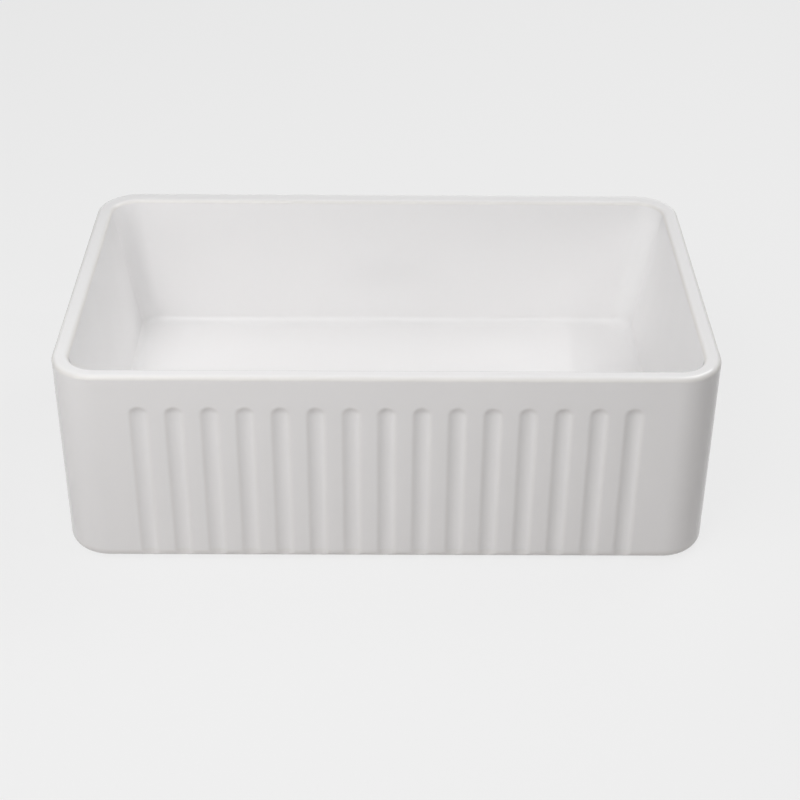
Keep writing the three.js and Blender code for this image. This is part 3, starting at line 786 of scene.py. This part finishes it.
def underside_levels():
    edge = recess(RECESS_ROUND, ROOF_Z)
    boss = ROOF_Z - BOSS_HEIGHT
    rings = [
        (DRAIN_RADIUS, boss + 1.0),
        (DRAIN_RADIUS + 1.0, boss),
        (BOSS_RADIUS - 1.0, boss),
        (BOSS_RADIUS, boss + 0.5),
        (BOSS_RADIUS + BOSS_SLOPE, ROOF_Z - 0.5),
        (BOSS_RADIUS + BOSS_SLOPE + 1.0, ROOF_Z),
    ]
    levels = [towards_drain(1.0, radius, edge, z, z, bare=1.0) for radius, z in rings]
    last = BOSS_RADIUS + BOSS_SLOPE + 1.0
    shares = [0.97, *steps_between(0.97, 0.01, 6), 0.01]
    levels += [towards_drain(s, last, edge, ROOF_Z, ROOF_Z, bare=1.0) for s in shares]
    for extra, z in arc(RECESS_ROUND, ROOF_Z - RECESS_ROUND, RECESS_ROUND, 90, 180, 6):
        levels.append(recess(extra, z))
    levels += [recess(0.0, z) for z in steps_between(ROOF_Z - RECESS_ROUND, SKIRT_ROUND, 4)]
    for extra, z in arc(-SKIRT_ROUND, SKIRT_ROUND, SKIRT_ROUND, 0, -90, 4):
        levels.append(recess(extra, z))
    levels.append(skin(BASE_ROUND, 0.0, bare=1.0))
    return levels


print("levels from foot to foot:", len(body_levels()))


# %% Grow the body
def grow_body():
    bm = bmesh.new()
    plan = bm.verts.layers.float_vector.new("plan")
    bare = bm.verts.layers.float.new("bare")
    thin = bm.verts.layers.float.new("thin")
    draw_outline(bm)
    for vert in bm.verts:
        vert[plan] = vert.co
    ring, loop = bm.verts[:], bm.edges[:]
    for number, level in enumerate(body_levels()):
        if number:
            grown = bmesh.ops.extrude_edge_only(bm, edges=loop)["geom"]
            ring = [g for g in grown if isinstance(g, bmesh.types.BMVert)]
            new = set(ring)
            edges = [g for g in grown if isinstance(g, bmesh.types.BMEdge)]
            loop = [e for e in edges if new.issuperset(e.verts)]
        for vert in ring:
            place, vert[bare], vert[thin] = level(vert[plan])
            vert.co = Vector(place) * MM
    bmesh.ops.remove_doubles(bm, verts=bm.verts, dist=1e-6)
    bm.verts.layers.float_vector.remove(plan)
    return bm


finish_piece(grow_body(), "fireclay_body", "sink_body", "sink", "glaze")

# %% [markdown]
# ## The waste
#
# Most of the waste is round, so its pieces are turned: we draw half a section as a few points and
# spin it about the Z axis. Real turned and pressed edges are never quite sharp, and it is the tiny
# round on them that catches the light. So every ring edge that turns by more than a shallow angle
# gets a bevel of a few tenths of a millimetre. Heights and radii come from the frame's own boxes
# wherever a piece has an end there.


# %% Turning helpers
def extent(name):
    """Radius, bottom and top of a node of the frame, in millimetres."""
    low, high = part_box(name)
    return high.x / MM, low.z / MM, high.z / MM


def move(bm, verts, x, y, z):
    bmesh.ops.translate(bm, vec=Vector((x, y, z)) * MM, verts=verts)


def rotate(bm, verts, angle, axis="Z"):
    turned = Matrix.Rotation(angle, 3, axis)
    bmesh.ops.rotate(bm, cent=(0, 0, 0), matrix=turned, verts=verts)


def turn(bm, points, steps=96):
    """Spins a closed half section round the Z axis. Its points are (radius, height)."""
    section = [bm.verts.new((radius * MM, 0.0, z * MM)) for radius, z in points]
    edges = [bm.edges.new(pair) for pair in zip(section, section[1:] + section[:1], strict=True)]
    bmesh.ops.spin(
        bm,
        geom=section + edges,
        cent=(0, 0, 0),
        axis=(0, 0, 1),
        angle=2 * math.pi,
        steps=steps,
        use_merge=True,
    )
    bmesh.ops.remove_doubles(bm, verts=bm.verts, dist=1e-6)
    bmesh.ops.recalc_face_normals(bm, faces=bm.faces)


def round_edges(bm, edges, round_mm, segments):
    bmesh.ops.bevel(
        bm,
        geom=edges,
        offset=round_mm * MM,
        segments=segments,
        profile=0.5,
        affect="EDGES",
        material=-1,
        clamp_overlap=True,
    )


def soften(bm, round_mm, from_degrees=35, segments=2):
    """Rounds every edge that turns by more than an angle."""
    limit = math.radians(from_degrees)
    sharp = [e for e in bm.edges if e.is_manifold and e.calc_face_angle() > limit]
    round_edges(bm, sharp, round_mm, segments)


def turned_piece(node_name, title, body, slot_name, points, round_mm=0.25, steps=96):
    bm = bmesh.new()
    turn(bm, points, steps)
    soften(bm, round_mm)
    return finish_piece(bm, title, node_name, body, slot_name)


def ring_section(inner, outer, bottom, top):
    return [(inner, bottom), (outer, bottom), (outer, top), (inner, top)]


def take_in(bm, part):
    """Adds a finished small bmesh to a larger one."""
    mesh = bpy.data.meshes.new("part")
    part.to_mesh(mesh)
    part.free()
    bm.from_mesh(mesh)
    bpy.data.meshes.remove(mesh)


def thread(bm, radius, bottom, top, pitch, height, steps=64):
    """A rounded thread ridge that winds up a tube: one spun turn and copies of it, stacked."""
    section = [
        (radius - 0.2, 0.0),
        (radius + height, 0.3 * pitch),
        (radius + height, 0.45 * pitch),
        (radius - 0.2, 0.75 * pitch),
    ]
    ridge = bmesh.new()
    verts = [ridge.verts.new((r * MM, 0.0, (bottom + z) * MM)) for r, z in section]
    edges = [ridge.edges.new(pair) for pair in zip(verts, verts[1:] + verts[:1], strict=True)]
    bmesh.ops.spin(
        ridge,
        geom=verts + edges,
        cent=(0, 0, 0),
        axis=(0, 0, 1),
        dvec=(0, 0, pitch * MM / steps),
        angle=2 * math.pi,
        steps=steps,
    )
    one_turn = ridge.verts[:] + ridge.edges[:] + ridge.faces[:]
    for turns in range(1, int((top - bottom) / pitch)):
        copied = bmesh.ops.duplicate(ridge, geom=one_turn)["geom"]
        raised = [g for g in copied if isinstance(g, bmesh.types.BMVert)]
        move(ridge, raised, 0.0, 0.0, turns * pitch)
    bmesh.ops.remove_doubles(ridge, verts=ridge.verts, dist=1e-6)
    bmesh.ops.holes_fill(ridge, edges=[e for e in ridge.edges if e.is_boundary], sides=0)
    take_in(bm, ridge)


def lug(bm, inner, outer, width, bottom, top, angle, round_mm):
    """A block that stands out from a ring."""
    made = bmesh.ops.create_cube(bm, size=MM)["verts"]
    bmesh.ops.scale(bm, vec=(outer - inner, width, top - bottom), verts=made)
    move(bm, made, (inner + outer) / 2, 0.0, (bottom + top) / 2)
    rotate(bm, made, angle)
    round_edges(bm, list({e for v in made for e in v.link_edges}), round_mm, 3)


print("the flange reaches", round(extent("strainer_cup")[0], 1), "mm from the axis")

# %% [markdown]
# ### Strainer cup
#
# The cup is drawn from one round of sheet: a wide flange with a rolled edge, a throat that passes
# through the fireclay, a ledge for the basket, a straight wall with a rolled thread, and an outlet
# tube. A small cross in the outlet catches what the basket lets through. We turn the shell in one
# piece and wind the two threads on it with the same spin, which climbs a little at every step.

# %% Strainer cup
SHEET = 1.2
flange_radius, outlet_end, flange_top = extent("strainer_cup")
THROAT = 44.4
THREAD_RADIUS = 42.0
CUP_BORE = THREAD_RADIUS - SHEET
OUTLET_RADIUS, OUTLET_BORE = 23.5, 21.5
CUP_ROUND = 5.0
LEDGE_Z = flange_top - 4.0
CUP_FLOOR_Z = LEDGE_Z - 45.0
BAR_WIDTH, BAR_HEIGHT, HUB_RADIUS = 3.5, 3.0, 5.0
CUP_PITCH = 2.0  # of the threads on the cup and on its outlet
cup_middle = CUP_BORE - CUP_ROUND
bar_top = CUP_FLOOR_Z - 9.0

cup_section = [
    *arc(flange_radius - 0.6, flange_top - 0.6, 0.6, -60, 90, 6),
    (flange_radius - 5.0, flange_top - 0.15),
    *arc(THROAT - SHEET + 1.8, flange_top - 2.0, 1.8, 90, 180, 6),
    (THROAT - SHEET, LEDGE_Z + 0.6),
    *arc(THROAT - SHEET - 0.6, LEDGE_Z + 0.6, 0.6, 0, -90, 3),
    *arc(CUP_BORE + 0.5, LEDGE_Z - 0.5, 0.5, 90, 180, 3),
    *[(CUP_BORE, LEDGE_Z - 4.0 - 8.0 * i) for i in range(4)],
    *arc(cup_middle, CUP_FLOOR_Z + CUP_ROUND, CUP_ROUND, 360, 270, 8),
    (OUTLET_BORE + 6.0, CUP_FLOOR_Z - 0.1),
    *arc(OUTLET_BORE + 1.5, CUP_FLOOR_Z - 1.6, 1.5, 90, 180, 5),
    (OUTLET_BORE, outlet_end),
    (OUTLET_RADIUS, outlet_end),
    (OUTLET_RADIUS, CUP_FLOOR_Z - SHEET),
    *arc(cup_middle, CUP_FLOOR_Z + CUP_ROUND, CUP_ROUND + SHEET, 270, 360, 8),
    *[(THREAD_RADIUS, CUP_FLOOR_Z + 12.0 + 8.0 * i) for i in range(4)],
    (THREAD_RADIUS, LEDGE_Z - SHEET),
    (THROAT, LEDGE_Z - SHEET),
    (THROAT, flange_top - SHEET),
]
bm = bmesh.new()
turn(bm, cup_section, steps=128)
soften(bm, 0.2, from_degrees=60)
thread(bm, THREAD_RADIUS, CUP_FLOOR_Z + 5.0, LEDGE_Z - 24.0, CUP_PITCH, 0.3, steps=96)
thread(bm, OUTLET_RADIUS, outlet_end + 0.8, CUP_FLOOR_Z - 2.0, CUP_PITCH, 0.3)
for quarter in range(4):
    angle = quarter * math.pi / 2
    lug(bm, 3.0, OUTLET_BORE + 0.8, BAR_WIDTH, bar_top - BAR_HEIGHT, bar_top, angle, 0.6)
hub = bmesh.new()
bar_foot = bar_top - BAR_HEIGHT
hub_section = [
    (0.0, bar_foot),
    (HUB_RADIUS, bar_foot),
    (HUB_RADIUS, bar_top),
    (HUB_RADIUS / 2, bar_top + 0.3),
    (0.0, bar_top + 0.4),
]
turn(hub, hub_section)
soften(hub, 0.4)
take_in(bm, hub)
finish_piece(bm, "pressed_strainer_cup", "strainer_cup", "sink", "stainless")

# %% [markdown]
# ### Seals under the floor
#
# Silicone beds the flange, and a rubber gasket with two pressed ribs seals from below. A fibre ring
# lies between the gasket and the nut, so that the nut slides on it and doesn't drag the rubber
# round. The outlet has a polyethylene washer of its own. All of them are plain rings, told apart by
# their sections.

# %% Seals
outer, bottom, top = extent("flange_seal")
bead = [
    (outer - 9.0, bottom),
    (outer - 0.5, bottom),
    *arc(outer - 0.75, (bottom + top) / 2, 0.75, -60, 60, 6),
    (outer - 0.5, top),
    (outer - 9.0, top),
]
turned_piece("flange_seal", "silicone_bead", "sink", "sealant", bead, round_mm=0.15)

outer, bottom, top = extent("under_gasket")
middle = (THREAD_RADIUS + 0.4 + outer) / 2
gasket_section = [
    (THREAD_RADIUS + 0.4, bottom),
    (outer, bottom),
    (outer, top - 0.4),
    (middle + 4.0, top - 0.4),
    *arc(middle + 2.8, top - 0.4, 0.4, 0, 180, 4),
    *arc(middle - 2.8, top - 0.4, 0.4, 0, 180, 4),
    (THREAD_RADIUS + 0.4, top - 0.4),
]
turned_piece("under_gasket", "rubber_gasket", "sink", "rubber", gasket_section, round_mm=0.3)

outer, bottom, top = extent("friction_ring")
fibre_section = ring_section(THREAD_RADIUS + 0.4, outer, bottom, top)
turned_piece("friction_ring", "fibre_friction_ring", "sink", "fibre", fibre_section, round_mm=0.12)

outer, bottom, top = extent("outlet_washer")
washer_section = [
    (outer - 3.7, bottom + 0.3),
    (outer - 3.4, bottom),
    (outer, bottom),
    (outer, top - 0.7),
    (outer - 0.8, top),
    (outer - 3.7, top),
]
turned_piece(
    "outlet_washer", "outlet_washer_ring", "sink", "white_plastic", washer_section, round_mm=0.15
)

# %% [markdown]
# ### Nuts
#
# Both big nuts are die-cast, so their lugs have soft corners. The lock nut's flat top plate presses
# the fibre ring, and its lugs take the heel of a hand or a spanner. The coupling nut has a lip at
# its foot that holds the trap's tail pipe by its flange.

# %% Lock nut and coupling nut
lug_reach, bottom, top = extent("lock_nut")
NUT_BORE = THREAD_RADIUS + 0.4
PLATE, RING = 53.0, 48.1
bm = bmesh.new()
nut_section = [
    (NUT_BORE, bottom),
    (RING - 0.6, bottom),
    (RING, bottom + 0.6),
    (RING + 0.3, top - 2.5),
    (RING + 1.3, top - 1.5),
    (PLATE, top - 1.5),
    (PLATE, top),
    (NUT_BORE, top),
]
turn(bm, nut_section)
soften(bm, 0.4, segments=3)
for number in range(8):
    lug(bm, NUT_BORE + 2.0, lug_reach, 12.0, bottom + 1.5, top - 0.75, number * math.pi / 4, 1.2)
finish_piece(bm, "die_cast_lock_nut", "lock_nut", "sink", "zinc")

lug_reach, bottom, top = extent("coupling_nut")
COUPLING_OUTER, COUPLING_BORE, LIP_BORE = 28.4, 23.9, 19.8
bm = bmesh.new()
coupling_section = [
    (LIP_BORE, bottom),
    (COUPLING_OUTER, bottom),
    (COUPLING_OUTER, top),
    (COUPLING_BORE + 0.6, top),
    (COUPLING_BORE, top - 0.6),
    (COUPLING_BORE, bottom + 2.0),
    (LIP_BORE, bottom + 2.0),
]
turn(bm, coupling_section)
soften(bm, 0.5, segments=3)
for number in range(6):
    lug(bm, COUPLING_BORE + 2.0, lug_reach, 8.0, bottom + 2.0, top - 2.0, number * math.pi / 3, 1.2)
finish_piece(bm, "die_cast_coupling_nut", "coupling_nut", "sink", "zinc")

# %% [markdown]
# ### Basket
#
# The basket is a pressed cup with slots round its wall and holes in its floor. Holes can't be
# turned, so they are the one place where a boolean is the natural tool: sixteen rounded slots and
# thirty-six round punches are cut from the turned shell at once. The shell has many steps round, so
# the cut edges stay smooth.

# %% Basket
BASKET_SHEET = 0.9
basket_rim, basket_under, basket_top = extent("basket_cup")
BASKET_MOUTH, BASKET_FOOT, BASKET_ROUND = 39.6, 36.6, 4.0
BUSH_HOLE = 6.3
basket_floor = basket_under + BASKET_SHEET
foot_middle = BASKET_FOOT - BASKET_ROUND


def apply_modifiers(made):
    """Replaces an object's mesh by what its modifiers make of it."""
    depsgraph = bpy.context.evaluated_depsgraph_get()
    baked = bpy.data.meshes.new_from_object(made.evaluated_get(depsgraph))
    old = made.data
    made.modifiers.clear()
    made.data = baked
    baked.name = old.name
    bpy.data.meshes.remove(old)


def cut(made, cutter_bm):
    """Cuts a closed bmesh out of an object."""
    bmesh.ops.recalc_face_normals(cutter_bm, faces=cutter_bm.faces)
    mesh = bpy.data.meshes.new("punches")
    cutter_bm.to_mesh(mesh)
    cutter_bm.free()
    punches = bpy.data.objects.new("punches", mesh)
    scene.collection.objects.link(punches)
    boolean = made.modifiers.new("punches", "BOOLEAN")
    boolean.operation = "DIFFERENCE"
    boolean.solver = "EXACT"
    boolean.object = punches
    apply_modifiers(made)
    bpy.data.objects.remove(punches)
    bpy.data.meshes.remove(mesh)


basket_section = [
    *arc(basket_rim - 0.45, basket_top - 0.45, 0.45, -90, 90, 6),
    *arc(BASKET_MOUTH + 1.2, basket_top - 1.2, 1.2, 90, 168, 4),
    *[(BASKET_MOUTH - 3.0 * i / 5, basket_top - 2.0 - 4.0 * i) for i in range(1, 5)],
    *arc(foot_middle, basket_floor + BASKET_ROUND, BASKET_ROUND, 355, 270, 6),
    (BUSH_HOLE, basket_floor),
    (BUSH_HOLE, basket_under),
    *arc(foot_middle, basket_floor + BASKET_ROUND, BASKET_ROUND + BASKET_SHEET, 270, 355, 6),
    (BASKET_MOUTH + BASKET_SHEET, basket_top - 1.6),
    (BASKET_MOUTH + 1.6, basket_top - BASKET_SHEET),
]
bm = bmesh.new()
turn(bm, basket_section, steps=160)
basket = finish_piece(bm, "pressed_basket", "basket_cup", "basket", "stainless")

# %% Holes of the basket
SLOTS, SLOT_WIDTH, SLOT_HEIGHT = 16, 3.0, 12.0
slot_middle = (basket_floor + BASKET_ROUND + basket_top - BASKET_SHEET) / 2
PUNCH_START, PUNCH_LENGTH = 30.0, 16.0  # of a slot's punch, outwards from the axis
HOLE_RADIUS = 2.25
HOLE_RINGS = ((14.0, 8), (21.0, 12), (28.0, 16))


def cylinder(bm, radius, length, segments):
    """An upright closed cylinder round the origin, or with few segments a prism."""
    return bmesh.ops.create_cone(
        bm,
        cap_ends=True,
        segments=segments,
        radius1=radius * MM,
        radius2=radius * MM,
        depth=length * MM,
    )["verts"]


def round_slot(bm, angle):
    """A flat oblong punch with half-round ends, pointing outwards."""
    half_straight = (SLOT_HEIGHT - SLOT_WIDTH) / 2
    end_round = SLOT_WIDTH / 2 * MM
    made = bmesh.ops.create_circle(bm, cap_ends=True, segments=24, radius=end_round)["verts"]
    for vert in made:
        vert.co.y += math.copysign(half_straight * MM, vert.co.y)
    face = made[0].link_faces[0]
    grown = bmesh.ops.extrude_face_region(bm, geom=[face])["geom"]
    far = [g for g in grown if isinstance(g, bmesh.types.BMVert)]
    move(bm, far, 0.0, 0.0, PUNCH_LENGTH)
    whole = made + far
    rotate(bm, whole, math.pi / 2, "X")
    rotate(bm, whole, -math.pi / 2)
    low = min(v.co.x for v in whole) / MM
    move(bm, whole, PUNCH_START - low, 0.0, slot_middle)
    rotate(bm, whole, angle)


bm = bmesh.new()
for number in range(SLOTS):
    round_slot(bm, 2 * math.pi * number / SLOTS)
for ring_radius, count in HOLE_RINGS:
    for number in range(count):
        punch = cylinder(bm, HOLE_RADIUS, 4.0, 24)
        move(bm, punch, ring_radius, 0.0, basket_floor)
        rotate(bm, punch, 2 * math.pi * number / count)
cut(basket, bm)
basket.data.set_sharp_from_angle(angle=SMOOTH_ANGLE)
print("basket after punching:", len(basket.data.polygons), "faces")

# %% [markdown]
# ### Bush and O-ring
#
# A turned brass bush sits in the middle of the basket, flanged above and below its floor. The stem
# slides in it, and an O-ring in a groove of its bore grips the stem, so that the stopper stays
# where it is pulled to.

# %% Bush and O-ring
bush_flange, bush_bottom, bush_top = extent("guide_bush")
STEM_RADIUS = 3.0
BUSH_BORE = STEM_RADIUS + 0.25
BUSH_WAIST = 6.0
o_ring_radius, o_ring_bottom, o_ring_top = extent("stem_o_ring")
bush_section = [
    (BUSH_BORE, bush_bottom),
    (bush_flange, bush_bottom),
    (bush_flange, basket_under - 0.3),
    (BUSH_WAIST, basket_under - 0.3),
    (BUSH_WAIST, basket_floor + 0.3),
    (bush_flange, basket_floor + 0.3),
    (bush_flange, basket_floor + 1.5),
    (bush_flange - 0.9, basket_floor + 1.9),
    (BUSH_WAIST + 0.4, basket_floor + 1.9),
    (BUSH_WAIST, basket_floor + 2.3),
    (BUSH_WAIST, bush_top - 0.7),
    (BUSH_WAIST - 0.7, bush_top),
    (BUSH_BORE + 0.3, bush_top),
    (BUSH_BORE, bush_top - 0.3),
    (BUSH_BORE, o_ring_top + 0.25),
    (o_ring_radius + 0.25, o_ring_top + 0.25),
    (o_ring_radius + 0.25, o_ring_bottom - 0.25),
    (BUSH_BORE, o_ring_bottom - 0.25),
]
turned_piece("guide_bush", "turned_bush", "basket", "brass", bush_section, round_mm=0.15, steps=64)

section_radius = (o_ring_top - o_ring_bottom) / 2
o_ring_section = list(
    arc(o_ring_radius - section_radius, o_ring_bottom + section_radius, section_radius, 0, 360, 20)
)[1:]
turned_piece("stem_o_ring", "o_ring", "basket", "rubber", o_ring_section, steps=48)

# %% [markdown]
# ### Stopper
#
# The stem carries a rubber disc between two washers, held by a nut at its foot, and ends in a
# mushroom knob that two fingers can lift. The knob is the only polished turning here, so its crown
# has the most steps.

# %% Stem and knob
_, stem_bottom, stem_top = extent("stem")
COLLAR_RADIUS, SHOULDER_RADIUS = 5.5, 4.5
_, _, stopper_washer_top = extent("stopper_washer")
knob_radius, knob_bottom, knob_top = extent("pull_knob")
collar_bottom = stopper_washer_top + 0.3
shoulder_bottom = bush_top + 0.3
bm = bmesh.new()
stem_section = [
    (0.0, stem_bottom),
    (STEM_RADIUS - 0.9, stem_bottom),
    (STEM_RADIUS - 0.4, stem_bottom + 0.5),
    (STEM_RADIUS - 0.4, stem_bottom + 6.4),
    (STEM_RADIUS, stem_bottom + 6.8),
    (STEM_RADIUS, collar_bottom),
    (COLLAR_RADIUS, collar_bottom),
    (COLLAR_RADIUS, collar_bottom + 1.5),
    (STEM_RADIUS, collar_bottom + 1.5),
    (STEM_RADIUS, shoulder_bottom),
    (SHOULDER_RADIUS, shoulder_bottom),
    (SHOULDER_RADIUS, knob_bottom - 3.5),
    (SHOULDER_RADIUS - 0.6, knob_bottom - 2.9),
    (SHOULDER_RADIUS - 0.6, knob_bottom - 1.9),
    (SHOULDER_RADIUS, knob_bottom - 1.3),
    (SHOULDER_RADIUS, knob_bottom - 0.3),
    (STEM_RADIUS, knob_bottom - 0.3),
    (STEM_RADIUS, stem_top),
    (0.0, stem_top),
]
turn(bm, stem_section, steps=64)
soften(bm, 0.15)
thread(bm, STEM_RADIUS - 0.4, stem_bottom + 0.5, stem_bottom + 6.2, 1.0, 0.35, steps=32)
finish_piece(bm, "turned_stem", "stem", "stopper", "stainless")

KNOB_NECK = 6.0
head_bottom = knob_bottom + 5.0
edge_round = 4.5
knob_section = [
    (BUSH_BORE, knob_bottom),
    (KNOB_NECK - 0.4, knob_bottom),
    (KNOB_NECK, knob_bottom + 0.4),
    (KNOB_NECK - 0.3, knob_bottom + 2.0),
    (KNOB_NECK, head_bottom - 2.4),
    *arc(knob_radius - edge_round, knob_top - 0.56 - edge_round, edge_round, -60, 80, 14),
    (knob_radius - edge_round - 2.0, knob_top - 0.3),
    (knob_radius - edge_round - 4.5, knob_top - 0.05),
    (0.0, knob_top),
    (0.0, stem_top + 0.3),
    (BUSH_BORE, stem_top + 0.3),
]
turned_piece(
    "pull_knob", "turned_pull_knob", "stopper", "stainless", knob_section, round_mm=0.15, steps=96
)

# %% Disc, washers and nut
outer, bottom, top = extent("stopper_washer")
upper = [
    (BUSH_BORE, bottom),
    (outer - 0.2, bottom),
    (outer, bottom + 0.3),
    (outer - 1.5, top),
    (BUSH_BORE, top),
]
turned_piece("stopper_washer", "stopper_washer_dished", "stopper", "stainless", upper, round_mm=0.1)

outer, bottom, top = extent("stopper_disc")
disc_section = [
    (BUSH_BORE, bottom),
    (outer - 6.0, bottom),
    (outer - 5.4, bottom + 0.5),
    (outer - 4.8, bottom),
    (outer - 0.3, bottom),
    (outer, bottom + 0.4),
    (outer, top - 2.0),
    (outer - 2.0, top),
    (outer - 12.0, top),
    (outer - 12.6, top - 0.4),
    (outer - 13.2, top),
    (BUSH_BORE, top),
]
turned_piece("stopper_disc", "rubber_stopper", "stopper", "rubber", disc_section, round_mm=0.2)

outer, bottom, top = extent("clamp_washer")
lower = ring_section(BUSH_BORE, outer, bottom, top)
turned_piece(
    "clamp_washer", "clamp_washer_ring", "stopper", "stainless", lower, round_mm=0.12, steps=64
)

_, bottom, top = extent("stem_nut")
NUT_FLATS = 10.0
nut_corner = NUT_FLATS / math.sqrt(3)
bm = bmesh.new()
blank = cylinder(bm, nut_corner, top - bottom, 6)
rotate(bm, blank, math.pi / 6)
move(bm, blank, 0.0, 0.0, (top + bottom) / 2)
soften(bm, 0.35)
stem_nut = finish_piece(bm, "hexagon_nut", "stem_nut", "stopper", "stainless")
bm = bmesh.new()
bore = cylinder(bm, BUSH_BORE, 12.0, 48)
move(bm, bore, 0.0, 0.0, (top + bottom) / 2)
cut(stem_nut, bm)
stem_nut.data.set_sharp_from_angle(angle=SMOOTH_ANGLE)
print("stopper reaches from", round(stem_bottom, 1), "to", round(knob_top, 1), "mm")

# %% [markdown]
# ## The dressed size
#
# The visual model must not grow past the frame that it dresses, so the box of the dressed model
# is printed.

# %% Write the sizes and finish
dressed_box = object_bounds()
dressed_low, dressed_high = ([round(v, 4) for v in corner] for corner in dressed_box)
print("dressed from", dressed_low, "to", dressed_high)
